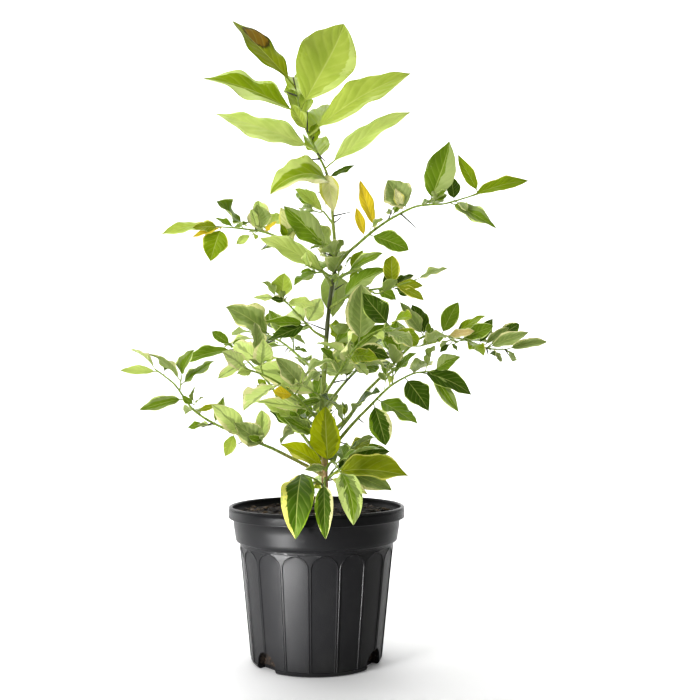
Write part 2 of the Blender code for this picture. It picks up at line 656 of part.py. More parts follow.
def give_material(obj, colour, roughness):
    """A plain finish of the object's own."""
    material = bpy.data.materials.new(obj.name)
    material.use_nodes = True
    shader = material.node_tree.nodes["Principled BSDF"]
    shader.inputs["Base Color"].default_value = (*colour, 1.0)
    shader.inputs["Roughness"].default_value = roughness
    obj.data.materials.clear()
    obj.data.materials.append(material)


def object_from_bmesh(name, bm, collection):
    mesh = bpy.data.meshes.new(name)
    bm.to_mesh(mesh)
    bm.free()
    obj = bpy.data.objects.new(name, mesh)
    collection.objects.link(obj)
    return obj


def hide_as_cutter(obj):
    obj.hide_render = True
    obj.display_type = "WIRE"


def cut(obj, cutter):
    modifier = obj.modifiers.new(cutter.name, "BOOLEAN")
    modifier.operation = "DIFFERENCE"
    modifier.object = cutter


def evaluated_mesh(obj):
    """The object's mesh with its modifiers applied."""
    bpy.context.view_layer.update()
    return bpy.data.meshes.new_from_object(obj.evaluated_get(bpy.context.evaluated_depsgraph_get()))


def turned(name, profile, collection):
    """A Screw-turned solid from a profile of (radius, height), outer side downwards."""
    mesh = bpy.data.meshes.new(name)
    verts = [(radius, 0.0, height) for radius, height in profile]
    mesh.from_pydata(verts, [(k, k + 1) for k in range(len(verts) - 1)], [])
    obj = bpy.data.objects.new(name, mesh)
    collection.objects.link(obj)
    screw = obj.modifiers.new("Turn", "SCREW")
    screw.steps = POT_SIDES
    screw.render_steps = POT_SIDES
    screw.use_merge_vertices = True
    screw.merge_threshold = 0.0001
    return obj


def body_radius(height):
    """The outer radius of the pot's tapering body."""
    return BASE_RADIUS + (BODY_RADIUS - BASE_RADIUS) * height / SHOULDER_FOOT


def pot_inside(height):
    """The radius of the pot's inner wall."""
    if height <= SHOULDER_FOOT:
        return body_radius(height) - WALL
    lip_foot = POT_HEIGHT - LIP_HEIGHT
    if height <= lip_foot:
        share = (height - SHOULDER_FOOT) / (lip_foot - SHOULDER_FOOT)
        return BODY_RADIUS + (BAND_TOP_RADIUS - BODY_RADIUS) * share - WALL
    foot = BAND_TOP_RADIUS - WALL
    return foot + (RIM_RADIUS - RIM_WIDTH - foot) * min(1.0, (height - lip_foot) / LIP_SLOPE)


def arc(centre, radius, start, end, steps):
    """Points on an arc, with the angles in degrees from the outward axis."""
    angles = [math.radians(start + (end - start) * k / steps) for k in range(steps + 1)]
    return [(centre[0] + radius * math.cos(a), centre[1] + radius * math.sin(a)) for a in angles]


def pot_profile():
    """From the middle of the floor up the inner wall, over the rim, and down to the underside."""
    half_rim = RIM_WIDTH / 2
    inner_rim = RIM_RADIUS - RIM_WIDTH
    lip_foot = POT_HEIGHT - LIP_HEIGHT
    return [
        (0.0, FLOOR),
        (pot_inside(FLOOR), FLOOR),
        (pot_inside(SHOULDER_FOOT), SHOULDER_FOOT),
        (pot_inside(lip_foot), lip_foot),
        (inner_rim, lip_foot + LIP_SLOPE),
        *arc((RIM_RADIUS - half_rim, POT_HEIGHT - half_rim), half_rim, 180, 0, 3),
        (RIM_RADIUS, lip_foot),
        (BAND_TOP_RADIUS, lip_foot),
        (BAND_FOOT_RADIUS, BAND_FOOT),
        (BODY_RADIUS + 0.002, SHOULDER_FOOT + 0.001),
        (body_radius(SHOULDER_FOOT - 0.004), SHOULDER_FOOT - 0.004),
        (body_radius(BASE_ROUNDING), BASE_ROUNDING),
        (body_radius(0) - BASE_ROUNDING, 0.0),
        (0.0, 0.0),
    ]


def soil_profile():
    """From the middle of the soil's top, out and down its side, to the middle of its underside."""
    return [
        (0.0, SOIL_TOP),
        (pot_inside(SOIL_TOP) - 2 * GAP, SOIL_TOP),
        (pot_inside(POT_HEIGHT - LIP_HEIGHT) - GAP, POT_HEIGHT - LIP_HEIGHT),
        (pot_inside(SHOULDER_FOOT) - GAP, SHOULDER_FOOT),
        (pot_inside(FLOOR + GAP) - GAP, FLOOR + GAP),
        (0.0, FLOOR + GAP),
    ]


def arch_cutter(name, top_width, foot_width, top, foot, collection):
    """A prism 30 mm deep in the shape of an arch, standing in the XZ plane and running out along +Y."""
    spring = top - top_width / 2
    outline = [(foot_width / 2, foot)]
    outline += arc((0.0, spring), top_width / 2, 0, 180, ARCH_STEPS)
    outline += [(-foot_width / 2, foot)]
    bm = bmesh.new()
    face = bm.faces.new([bm.verts.new((x, 0.0, z)) for x, z in outline])
    pulled = bmesh.ops.extrude_face_region(bm, geom=[face])
    moved = [item for item in pulled["geom"] if isinstance(item, bmesh.types.BMVert)]
    bmesh.ops.translate(bm, verts=moved, vec=(0.0, 0.030, 0.0))
    bmesh.ops.recalc_face_normals(bm, faces=bm.faces)
    obj = object_from_bmesh(name, bm, collection)
    hide_as_cutter(obj)
    return obj


def make_pot(parts, cutters):
    """The pot with its flutes and drain notches, and the soil that fills it."""
    pot = turned("pot", pot_profile(), parts)
    soil = turned("soil", soil_profile(), parts)
    lean = math.atan2(BODY_RADIUS - BASE_RADIUS, SHOULDER_FOOT)
    room = 2 * math.pi / FLUTES * FLUTE_SHARE
    for k in range(FLUTES):
        widths = body_radius(FLUTE_TOP) * room, body_radius(0.0) * room
        cutter = arch_cutter(f"flute_cutter_{k + 1}", *widths, FLUTE_TOP, FLUTE_FOOT, cutters)
        turn = Matrix.Rotation(FIRST_FLUTE + k * 2 * math.pi / FLUTES + math.pi, 4, "Z")
        out = Matrix.Translation((0.0, body_radius(0.0) - FLUTE_DEPTH, 0.0))
        cutter.matrix_world = turn @ out @ Matrix.Rotation(-lean, 4, "X")
        cut(pot, cutter)
    for k, degrees in enumerate(NOTCH_TURNS):
        for owner, grown in ((pot, 0.0), (soil, GAP)):
            cutter = arch_cutter(
                f"notch_cutter_{owner.name}_{k + 1}",
                NOTCH_WIDTH + 2 * grown,
                NOTCH_WIDTH + 2 * grown,
                NOTCH_HEIGHT + grown,
                -0.002,
                cutters,
            )
            turn = Matrix.Rotation(math.radians(degrees) + math.pi, 4, "Z")
            cutter.matrix_world = turn @ Matrix.Translation((0.0, BASE_RADIUS - NOTCH_DEPTH - grown, 0.0))
            cut(owner, cutter)
    give_material(pot, (0.012, 0.012, 0.013), 0.42)
    give_material(soil, (0.035, 0.020, 0.012), 0.95)


def limb_mesh(name, line, sides, collection, extra=0.0):
    """A tapering tube along a line, made a closed mesh."""
    data = bpy.data.curves.new(name + "_route", "CURVE")
    data.dimensions = "3D"
    data.use_fill_caps = True
    outline = None
    if sides == 3:
        outline = bpy.data.objects["twig_outline"]
        data.bevel_mode = "OBJECT"
        data.bevel_object = outline
    else:
        data.bevel_depth = 1.0
        data.bevel_resolution = sides // 2 - 2
    spline = data.splines.new("POLY")
    spline.points.add(len(line.places) - 1)
    for point, place, radius in zip(spline.points, line.places, line.radii):
        point.co = (*place, 1.0)
        point.radius = radius + extra
    route = bpy.data.objects.new(name + "_route", data)
    collection.objects.link(route)
    mesh = evaluated_mesh(route)
    bpy.data.objects.remove(route, do_unlink=True)
    bm = bmesh.new()
    bm.from_mesh(mesh)
    bmesh.ops.remove_doubles(bm, verts=bm.verts, dist=WELD)
    bmesh.ops.recalc_face_normals(bm, faces=bm.faces)
    return object_from_bmesh(name, bm, collection)


def make_twig_outline(cutters):
    """The three-sided outline that twigs follow."""
    data = bpy.data.curves.new("twig_outline", "CURVE")
    spline = data.splines.new("POLY")
    spline.points.add(2)
    spline.use_cyclic_u = True
    for k, point in enumerate(spline.points):
        turn = -2 * math.pi * k / 3
        point.co = (math.cos(turn), math.sin(turn), 0.0, 1.0)
    outline = bpy.data.objects.new("twig_outline", data)
    cutters.objects.link(outline)
    hide_as_cutter(outline)


def leaf_mesh(name, blade, collection):
    """A thin leaf: a three-sided foot, rings of left edge, top, right edge and bottom, and a pointed tip."""
    shares = (0.45,) if blade.length < 0.05 else (0.38, 0.72) if blade.length < 0.09 else (0.2, 0.45, 0.75)
    thick = blade.length * LEAF_THICKNESS / 2
    across = blade.along.cross(blade.face) * STALK_RADIUS
    face = blade.face * STALK_RADIUS
    sunk = blade.foot - blade.along * STALK_SUNK
    bm = bmesh.new()
    left, right, under = (bm.verts.new(sunk + way) for way in (face / 2 - across, face / 2 + across, -face))
    rings = []
    for share in shares:
        spots = ((-1, 0.0), (0, thick), (1, 0.0), (0, -thick))
        rings.append([bm.verts.new(blade.point(share, side, lift)) for side, lift in spots])
    tip = bm.verts.new(blade.point(1.0, 0.0))
    first = rings[0]
    bm.faces.new((left, right, under))
    bm.faces.new((left, first[1], right))
    for edge, foot in ((first[0], left), (first[2], right)):
        bm.faces.new((foot, edge, first[1]))
        bm.faces.new((foot, first[3], edge))
        bm.faces.new((foot, under, first[3]))
    for ring, after in zip(rings, rings[1:]):
        for side in (0, 2):
            edge, top, bottom = side, (1, 3)[side > 0], (3, 1)[side > 0]
            bm.faces.new((ring[edge], after[top], after[edge]))
            bm.faces.new((ring[edge], ring[top], after[top]))
            bm.faces.new((ring[edge], after[edge], after[bottom]))
            bm.faces.new((ring[edge], after[bottom], ring[bottom]))
    for k in range(4):
        bm.faces.new((rings[-1][k], rings[-1][(k + 1) % 4], tip))
    bmesh.ops.recalc_face_normals(bm, faces=bm.faces)
    return object_from_bmesh(name, bm, collection)


def is_closed(mesh):
    """Whether every edge of the mesh has two faces."""
    bm = bmesh.new()
    bm.from_mesh(mesh)
    closed = all(edge.is_manifold for edge in bm.edges)
    bm.free()
    return closed


def keep_largest_shell(mesh):
    """Drops loose scraps and fills sealed hollows, by keeping only the outer shell."""
    bm = bmesh.new()
    bm.from_mesh(mesh)
    left = set(bm.faces)
    shells = []
    while left:
        shell, edge_of = set(), [left.pop()]
        while edge_of:
            face = edge_of.pop()
            shell.add(face)
            for edge in face.edges:
                fresh = [other for other in edge.link_faces if other in left]
                left.difference_update(fresh)
                edge_of.extend(fresh)
        shells.append(shell)
    shells.sort(key=len)
    scraps = [face for shell in shells[:-1] for face in shell]
    bmesh.ops.delete(bm, geom=scraps, context="FACES")
    bm.to_mesh(mesh)
    bm.free()


def make_foliage(name, mass, parts):
    """Joins a mass's stem, twigs and leaves in one solid."""
    loose = new_collection(name + "_pieces")
    for k, twig in enumerate(mass.twigs):
        limb_mesh(f"{name}_twig_{k}", twig, 3, loose)
    for k, blade in enumerate(mass.blades):
        leaf_mesh(f"{name}_leaf_{k}", blade, loose)
    solid = limb_mesh(name, mass.stem, 3, parts)
    union = solid.modifiers.new("Join", "BOOLEAN")
    union.operation = "UNION"
    union.operand_type = "COLLECTION"
    union.collection = loose
    for solver in ("EXACT", "MANIFOLD"):
        union.solver = solver
        joined = evaluated_mesh(solid)
        keep_largest_shell(joined)
        if is_closed(joined):
            break
    solid.modifiers.clear()
    solid.data = joined
    for obj in list(loose.objects):
        bpy.data.objects.remove(obj, do_unlink=True)
    bpy.data.collections.remove(loose)
    give_material(solid, mass.branch.colour, 0.45)
    return solid


def main():
    clear_scene()
    parts = new_collection("potted_lemon_tree")
    cutters = new_collection("cutters")
    make_pot(parts, cutters)
    make_twig_outline(cutters)
    trunk_route, boughs, masses = grow_tree()
    trunk = limb_mesh("trunk", trunk_route, 8, parts)
    give_material(trunk, (0.33, 0.24, 0.13), 0.75)
    trunk_room = limb_mesh("trunk_room", trunk_route, 8, cutters, extra=GAP)
    hide_as_cutter(trunk_room)
    for name, line in boughs.items():
        bough = limb_mesh(f"bough_{name}", line, 6, parts)
        cut(bough, trunk_room)
        give_material(bough, (0.16, 0.25, 0.06), 0.6)
    for name, mass in masses.items():
        solid = make_foliage(f"foliage_{name}", mass, parts)
        if not mass.branch.bare:
            cut(solid, trunk_room)
    bpy.data.objects.remove(bpy.data.objects["twig_outline"], do_unlink=True)


main()
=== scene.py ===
"""The looks of a young variegated lemon tree in a fluted nursery pot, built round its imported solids.

Metres, +Z up. The origin is the centre of the pot's flat underside, and -Y is the front. The stems, the
twigs and the larger leaves grow by the solids' own rule, from the same routes and seeds. Here each leaf is
a curved, veined and variegated blade, smaller leaves and thorns fill the same room, and the wood, the pot
and the soil have the relief of the real ones.
"""

from __future__ import annotations

import logging
import math
import random
from dataclasses import dataclass, field
from enum import Enum
from typing import Any

import bmesh
import bpy
import numpy as np
from mathutils import Matrix, Vector, noise

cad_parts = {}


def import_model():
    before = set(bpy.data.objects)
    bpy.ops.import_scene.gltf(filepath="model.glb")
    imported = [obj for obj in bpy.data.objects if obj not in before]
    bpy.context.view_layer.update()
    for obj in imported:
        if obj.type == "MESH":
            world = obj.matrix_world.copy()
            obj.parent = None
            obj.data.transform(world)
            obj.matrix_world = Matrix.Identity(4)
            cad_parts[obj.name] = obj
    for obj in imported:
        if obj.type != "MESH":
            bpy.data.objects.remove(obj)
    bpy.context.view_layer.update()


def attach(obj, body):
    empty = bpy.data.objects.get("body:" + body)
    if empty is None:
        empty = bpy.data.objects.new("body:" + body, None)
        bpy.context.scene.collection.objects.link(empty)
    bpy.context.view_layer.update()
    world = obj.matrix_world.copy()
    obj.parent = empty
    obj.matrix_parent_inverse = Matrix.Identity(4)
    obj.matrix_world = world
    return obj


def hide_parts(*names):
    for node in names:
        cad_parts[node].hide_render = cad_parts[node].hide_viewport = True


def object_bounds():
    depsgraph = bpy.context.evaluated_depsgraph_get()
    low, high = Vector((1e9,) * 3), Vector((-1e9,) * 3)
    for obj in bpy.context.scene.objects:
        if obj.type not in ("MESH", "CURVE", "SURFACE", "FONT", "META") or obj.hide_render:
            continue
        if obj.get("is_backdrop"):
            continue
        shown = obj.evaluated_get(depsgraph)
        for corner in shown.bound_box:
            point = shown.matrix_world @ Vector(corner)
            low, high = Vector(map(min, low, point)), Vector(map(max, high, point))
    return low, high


LOG = logging.getLogger("lemon_tree")
UP = Vector((0.0, 0.0, 1.0))
FRONT = Vector((0.0, -1.0, 0.25)).normalized()
Colour = tuple[float, float, float]


def linear(red: int, green: int, blue: int) -> Colour:
    """A display colour, from 0 to 255 a channel, as the shader's linear one."""
    shares = (red / 255, green / 255, blue / 255)
    return tuple(s / 12.92 if s <= 0.04045 else ((s + 0.055) / 1.055) ** 2.4 for s in shares)  # type: ignore


class Flow:
    """A socket of a shader tree, whose operators add the Math nodes of an expression."""

    def __init__(self, paint: Paint, socket: bpy.types.NodeSocket) -> None:
        """Wraps an output socket of the paint's tree."""
        self.paint = paint
        self.socket = socket

    def math(self, operation: str, *values: Flow | float) -> Flow:
        """A Math node on this value and others.

        Args:
            operation: The Math node's operation.
            values: Its further values.

        Returns:
            The node's result.
        """
        return self.paint.math(operation, self, *values)

    def __add__(self, other: Flow | float) -> Flow:
        """This value plus another."""
        return self.math("ADD", other)

    def __radd__(self, other: float) -> Flow:
        """A number plus this value."""
        return self.math("ADD", other)

    def __sub__(self, other: Flow | float) -> Flow:
        """This value less another."""
        return self.math("SUBTRACT", other)

    def __rsub__(self, other: float) -> Flow:
        """A number less this value."""
        return self.paint.math("SUBTRACT", other, self)

    def __mul__(self, other: Flow | float) -> Flow:
        """This value times another."""
        return self.math("MULTIPLY", other)

    def __rmul__(self, other: float) -> Flow:
        """A number times this value."""
        return self.math("MULTIPLY", other)

    def __truediv__(self, other: Flow | float) -> Flow:
        """This value over another."""
        return self.math("DIVIDE", other)

    def __rtruediv__(self, other: float) -> Flow:
        """A number over this value."""
        return self.paint.math("DIVIDE", other, self)

    def __pow__(self, other: Flow | float) -> Flow:
        """This value to a power."""
        return self.math("POWER", other)

    def __abs__(self) -> Flow:
        """This value without its sign."""
        return self.math("ABSOLUTE")

    def between(self, low: float, high: float) -> Flow:
        """A smooth step from 0 at the low value to 1 at the high one."""
        ramp = {"interpolation_type": "SMOOTHSTEP"}
        node = self.paint.node("ShaderNodeMapRange", ramp, {"Value": self, "From Min": low, "From Max": high})
        return Flow(self.paint, node.outputs["Result"])


class Paint:
    """A material under construction, with one method that adds any node."""

    def __init__(self, name: str) -> None:
        """Starts a material that holds a Principled shader."""
        self.material = bpy.data.materials.new(name)
        self.material.use_nodes = True
        self.tree = self.material.node_tree
        self.shader = self.tree.nodes["Principled BSDF"]
        self.shader.location = (900.0, 200.0)

    def set(self, socket: bpy.types.NodeSocket, value: Any) -> None:
        """Links a flow to a socket, or writes a plain value there."""
        if isinstance(value, Flow):
            self.tree.links.new(value.socket, socket)
        elif isinstance(value, tuple) and len(value) == 3 and socket.type == "RGBA":
            socket.default_value = (*value, 1.0)
        else:
            socket.default_value = value

    def node(self, kind: str, settings: dict[str, Any] | None = None, values: dict[Any, Any] | None = None):
        """Adds a node.

        Args:
            kind: The node's type.
            settings: Its settings, set first. A list of stops under "ramp" fills its colour ramp.
            values: Its inputs by name or index, as numbers, colours or flows.

        Returns:
            The node.
        """
        made = self.tree.nodes.new(kind)
        for key, value in (settings or {}).items():
            if key == "ramp":
                for element, (place, colour) in zip(made.color_ramp.elements, value):
                    element.position = place
                    element.color = (*colour, 1.0)
            else:
                setattr(made, key, value)
        for key, value in (values or {}).items():
            self.set(made.inputs[key], value)
        return made

    def math(self, operation: str, *values: Flow | float) -> Flow:
        """A Math node's result on up to three values."""
        node = self.node("ShaderNodeMath", {"operation": operation}, dict(enumerate(values)))
        return Flow(self, node.outputs[0])

    def mix(self, share: Flow | float, first: Any, second: Any) -> Flow:
        """A mix of two colours, from the first at share 0 to the second at 1."""
        settings = {"data_type": "RGBA", "blend_type": "MIX", "clamp_factor": True}
        node = self.node("ShaderNodeMix", settings, {0: share, 6: first, 7: second})
        return Flow(self, node.outputs[2])

    def darkened(self, share: Flow | float, colour: Any, tone: Colour) -> Flow:
        """A colour multiplied by a tone, not at all at share 0 and fully at 1."""
        settings = {"data_type": "RGBA", "blend_type": "MULTIPLY", "clamp_factor": True}
        node = self.node("ShaderNodeMix", settings, {0: share, 6: colour, 7: tone})
        return Flow(self, node.outputs[2])

    def vector(self, x: Flow | float, y: Flow | float, z: Flow | float) -> Flow:
        """A vector of three values."""
        return Flow(self, self.node("ShaderNodeCombineXYZ", None, {0: x, 1: y, 2: z}).outputs[0])

    def place(self) -> Flow:
        """The object's own coordinates, in metres."""
        return Flow(self, self.node("ShaderNodeTexCoord").outputs["Object"])

    def split(self, vector: Flow) -> tuple[Flow, Flow, Flow]:
        """The three parts of a vector."""
        node = self.node("ShaderNodeSeparateXYZ", None, {0: vector})
        return tuple(Flow(self, output) for output in node.outputs)  # type: ignore

    def noise(self, vector: Flow, scale: float, detail: float = 3.0, roughness: float = 0.5) -> Flow:
        """Soft noise from 0 to 1 over a place."""
        values = {"Vector": vector, "Scale": scale, "Detail": detail, "Roughness": roughness}
        return Flow(self, self.node("ShaderNodeTexNoise", None, values).outputs["Fac"])

    def cells(self, vector: Flow, scale: float) -> Flow:
        """The distance to the nearest of many scattered points."""
        node = self.node("ShaderNodeTexVoronoi", {"feature": "F1"}, {"Vector": vector, "Scale": scale})
        return Flow(self, node.outputs["Distance"])

    def finish(self, colour: Any, roughness: Any, height: Flow | None = None, depth: float = 0.0) -> None:
        """Drives the shader.

        Args:
            colour: The base colour.
            roughness: The roughness.
            height: The relief, from 0 to 1, or None on a smooth surface.
            depth: The relief's depth in metres.
        """
        self.set(self.shader.inputs["Base Color"], colour)
        self.set(self.shader.inputs["Roughness"], roughness)
        if height is not None:
            bump = self.node("ShaderNodeBump", None, {"Strength": 1.0, "Distance": depth, "Height": height})
            self.set(self.shader.inputs["Normal"], Flow(self, bump.outputs["Normal"]))


class Tint(Enum):
    """The colours of this tree's leaves, as display colours."""

    LIME = (182, 200, 80)
    LIME_PALE = (208, 224, 122)
    FRESH = (138, 162, 12)
    LEAF = (110, 140, 24)
    GREY = (138, 156, 86)
    SAGE = (168, 184, 112)
    DEEP = (58, 88, 6)
    OLIVE = (138, 150, 10)
    CREAM = (246, 240, 178)
    BUTTER = (238, 230, 118)
    VEINED = (224, 240, 148)
    GOLD = (250, 216, 48)
    CHARTREUSE = (188, 196, 2)
    BLUSH = (226, 198, 130)
    SCORCH = (128, 98, 16)
    CHAR = (62, 54, 4)
    RIB = (204, 214, 118)
    GREEN_RIB = (156, 184, 84)
    UNDER = (156, 172, 96)
    UNDER_LIME = (172, 192, 62)

    @property
    def colour(self) -> Colour:
        """The tint as the shader's linear colour."""
        return linear(*self.value)


@dataclass(frozen=True)
class Livery:
    """How a leaf is variegated: its tints from the midrib outwards, and where and how raggedly they meet."""

    heart: Tint
    flank: Tint
    margin: Tint
    under: Tint
    margin_start: float = 0.92  # of the half width
    ragged: float = 0.10
    lopsided: float = 0.0  # how much wider the margin is on one half than on the other
    heart_share: float = 0.5  # of the margin's start
    rib: Tint = Tint.RIB
    rib_strength: float = 0.10
    scorched: bool = False


class Look(Enum):
    """The liveries of this tree."""

    LIME = Livery(Tint.LIME, Tint.LIME, Tint.LIME_PALE, Tint.UNDER_LIME, 0.84, 0.30, -0.30)
    LIME_SOFT = Livery(Tint.LIME_PALE, Tint.LIME_PALE, Tint.VEINED, Tint.UNDER_LIME, 0.80, 0.20, rib_strength=0.05)
    SCORCHED = Livery(Tint.OLIVE, Tint.OLIVE, Tint.LEAF, Tint.UNDER, 0.90, 0.10, scorched=True)
    FRESH = Livery(Tint.FRESH, Tint.FRESH, Tint.BUTTER, Tint.UNDER_LIME, 0.90, 0.06)
    LEAF = Livery(Tint.LEAF, Tint.LEAF, Tint.VEINED, Tint.UNDER, 0.88, 0.08)
    GREY = Livery(Tint.LEAF, Tint.GREY, Tint.VEINED, Tint.UNDER, 0.86, 0.20, 0.10)
    SAGE = Livery(Tint.GREY, Tint.SAGE, Tint.CREAM, Tint.UNDER, 0.84, 0.20, 0.16, 0.6)
    SPLIT = Livery(Tint.DEEP, Tint.LEAF, Tint.CREAM, Tint.UNDER, 0.88, 0.50, -0.30, 0.8)
    PALE = Livery(Tint.SAGE, Tint.VEINED, Tint.CREAM, Tint.UNDER, 0.80, 0.36, 0.20, 0.16, Tint.GREEN_RIB, 0.30)
    DEEP = Livery(Tint.DEEP, Tint.DEEP, Tint.LIME_PALE, Tint.UNDER, 0.92, 0.06)
    OLIVE = Livery(Tint.OLIVE, Tint.OLIVE, Tint.BUTTER, Tint.UNDER_LIME, 0.86, 0.14, 0.12)
    CREAM = Livery(Tint.VEINED, Tint.BUTTER, Tint.CREAM, Tint.CREAM, 0.46, 0.30, 0.0, 0.3)
    GOLD = Livery(Tint.GOLD, Tint.GOLD, Tint.BUTTER, Tint.BUTTER, 0.90, 0.12, rib=Tint.BUTTER)
    IVORY = Livery(Tint.CREAM, Tint.CREAM, Tint.BUTTER, Tint.CREAM, 0.76, 0.20, 0.0, 0.4, Tint.CREAM)
    CHARTREUSE = Livery(Tint.CHARTREUSE, Tint.CHARTREUSE, Tint.BUTTER, Tint.UNDER_LIME, 0.80, 0.24, 0.30)
    SUNLIT = Livery(Tint.OLIVE, Tint.OLIVE, Tint.CHARTREUSE, Tint.UNDER_LIME, 0.50, 0.24, 0.60)
    BLUSH = Livery(Tint.BLUSH, Tint.BLUSH, Tint.CREAM, Tint.CREAM, 0.74, 0.24, rib=Tint.CREAM)
    # The next two liveries paint one half of the blade paler and the other darker: partly the leaf's own two greens,
    # partly painted light and shade on the two halves of the fold.
    HALF_SHADED_LIME = Livery(Tint.FRESH, Tint.FRESH, Tint.VEINED, Tint.UNDER_LIME, 0.50, 0.20, 0.60)
    HALF_SHADED_GREY = Livery(Tint.LEAF, Tint.LEAF, Tint.SAGE, Tint.UNDER, 0.56, 0.30, -0.80)
    HALF_CREAM = Livery(Tint.FRESH, Tint.LIME_PALE, Tint.CREAM, Tint.UNDER_LIME, 0.80, 0.24, -0.40, 0.6)
    SPLASHED = Livery(Tint.DEEP, Tint.LEAF, Tint.BUTTER, Tint.UNDER, 0.88, 0.34, 0.44, 0.92)
    DAPPLED = Livery(Tint.LEAF, Tint.GREY, Tint.VEINED, Tint.UNDER, 0.66, 0.80, 0.20, 0.5)


@dataclass(frozen=True)
class LeafFinish:
    """One face of a leaf in its livery, with ribs, flecks and soft ragged borders between its tints, and painted shade
    in the hollows between the side ribs.
    """

    name: str
    livery: Livery
    upper: bool
    rib_pairs: float = 8.0
    slant: float = 0.26  # how far along the blade a side rib runs on its way to the edge
    quilting: float = 0.0006
    # the tone that darkens the leaf's random mottle, and that paints the shade between the side ribs
    mottle_and_rib_shade_tone: Colour = (0.58, 0.68, 0.34)

    def material(self) -> bpy.types.Material:
        """Builds the finish on the blade's map: its number and the way across in u, and the way along in v."""
        paint = Paint(f"leaf_{self.name}_{'upper' if self.upper else 'under'}")
        livery = self.livery
        chart = Flow(paint, paint.node("ShaderNodeUVMap", {"uv_map": BLADE_MAP}).outputs["UV"])
        numbered, along, _ = paint.split(chart)
        number = paint.math("FLOOR", numbered)
        offset = numbered - number - 0.5
        across = abs(offset) * (1 / MAP_REACH)
        half = offset.between(-0.004, 0.004)
        line = along - across * self.slant
        key = number * 3.7 + half * 1.9
        sectors = paint.noise(paint.vector(line * 6.0, key, across * 0.7), 1.0, 2.0)
        flecks = paint.noise(paint.vector(line * 26.0, key, across * 5.0), 1.0, 3.0, 0.6)
        wander = (sectors - 0.5) * 2.4 + (flecks - 0.5) * 0.9
        start = half * livery.lopsided + (livery.margin_start - livery.lopsided / 2)
        margin = (across - start - wander * livery.ragged).between(-0.025, 0.035)
        inner = paint.noise(paint.vector(line * 4.0, key + 9.0, across * 0.5), 1.0, 3.0)
        heart = 1.0 - (across - (inner - 0.5) * 0.9 - livery.heart_share * livery.margin_start).between(-0.05, 0.07)
        colour = paint.mix(heart, livery.flank.colour, livery.heart.colour)
        colour = paint.mix(margin, colour, livery.margin.colour)
        beat = (line + paint.noise(paint.place(), 40.0, 1.0) * 0.05) * self.rib_pairs
        swing = paint.math("COSINE", beat * math.tau) * 0.5 + 0.5
        side_rib = swing**14.0 * across.between(0.0, 0.1) * (1.0 - across.between(0.7, 0.95))
        midrib = 1.0 - across.between(0.005, 0.05)
        ribs = paint.math("MAXIMUM", side_rib * livery.rib_strength, midrib * 0.5)
        drift = paint.noise(paint.place(), 34.0, 2.0).between(0.36, 0.66)
        # painted shade: between the side ribs the colour is darkened where the quilted hollows lie in shade; the drift
        # and the flecks are the leaf's own random tone
        between_ribs = (1.0 - swing**2.0) * across.between(0.0, 0.15)
        colour = paint.darkened(drift * 0.34 + flecks * 0.22 + between_ribs * 0.10, colour, self.mottle_and_rib_shade_tone)
        if livery.scorched:
            far = ((along - 0.70) / 0.16) ** 2.0 + ((offset - 0.22) / 0.24) ** 2.0 + (flecks - 0.5) * 1.4
            colour = paint.mix(1.0 - far.between(1.0, 1.45), colour, Tint.CHAR.colour)
            colour = paint.mix(1.0 - far.between(0.55, 0.95), colour, Tint.SCORCH.colour)
        colour = paint.mix(ribs, colour, livery.rib.colour)
        if not self.upper:
            colour = paint.mix(0.6, colour, livery.under.colour)
        height = between_ribs * (1.0 - across.between(0.8, 1.0)) * 0.7 + (1.0 - midrib) * 0.3
        roughness = flecks * 0.10 + (0.36 if self.upper else 0.55)
        paint.finish(colour, roughness, height, self.quilting)
        paint.shader.inputs["Specular IOR Level"].default_value = 0.26 if self.upper else 0.15
        paint.shader.inputs["Specular Tint"].default_value = (0.9, 0.95, 0.3, 1.0)
        return paint.material


GAP = 0.0003  # between pieces that touch

# Pot
POT_HEIGHT = 0.216
RIM_RADIUS = 0.125
RIM_WIDTH = 0.0055
LIP_HEIGHT = 0.016
LIP_SLOPE = 0.006  # the height over which the inner wall opens out to the rim
BAND_TOP_RADIUS = 0.1185
BAND_FOOT_RADIUS = 0.1145
BAND_FOOT = 0.1695
SHOULDER_FOOT = 0.1655
BODY_RADIUS = 0.1087
BASE_RADIUS = 0.0915
BASE_ROUNDING = 0.005
WALL = 0.004
FLOOR = 0.004
FLUTES = 17
FLUTE_TOP = 0.160
FLUTE_FOOT = 0.006
FLUTE_SHARE = 0.86  # of the room that each flute has
FIRST_FLUTE = math.radians(7.6)
NOTCH_TURNS = (62, 188, 313.5)  # in degrees round from the front
NOTCH_WIDTH = 0.037
NOTCH_HEIGHT = 0.026
NOTCH_DEPTH = 0.014
SOIL_TOP = 0.205

# Wood
TRUNK_TOP = 0.660
FLARE_RADIUS = 0.0085
FLARE_HEIGHT = 0.022
ROUTE_STEP = 0.018
COLLAR_SHARE = 0.3  # how much thicker a bough is at its root
COLLAR_LENGTH = 0.014

# Foliage
GOLDEN_ANGLE = math.radians(137.5)
FIRST_NODE = 0.1
TWIG_INTERNODE = 0.014
TWIG_RADIUS = 0.0012
SHOOT_TIP_RADIUS = 0.0009
STALK_SHARE = 0.12  # of a leaf's length, before its blade starts
FOLD = 0.16  # how far a leaf's edges stand above its midrib, of its half width
SAMPLE_STEP = 0.008
LEAF_CLEARANCE = 0.0065
LIMB_CLEARANCE = 0.0025
ROOT_REACH = 0.014  # round a leaf's foot, where its own twig may be near
TRIES = 7
SHRINK = 0.94  # of the size, at each further try

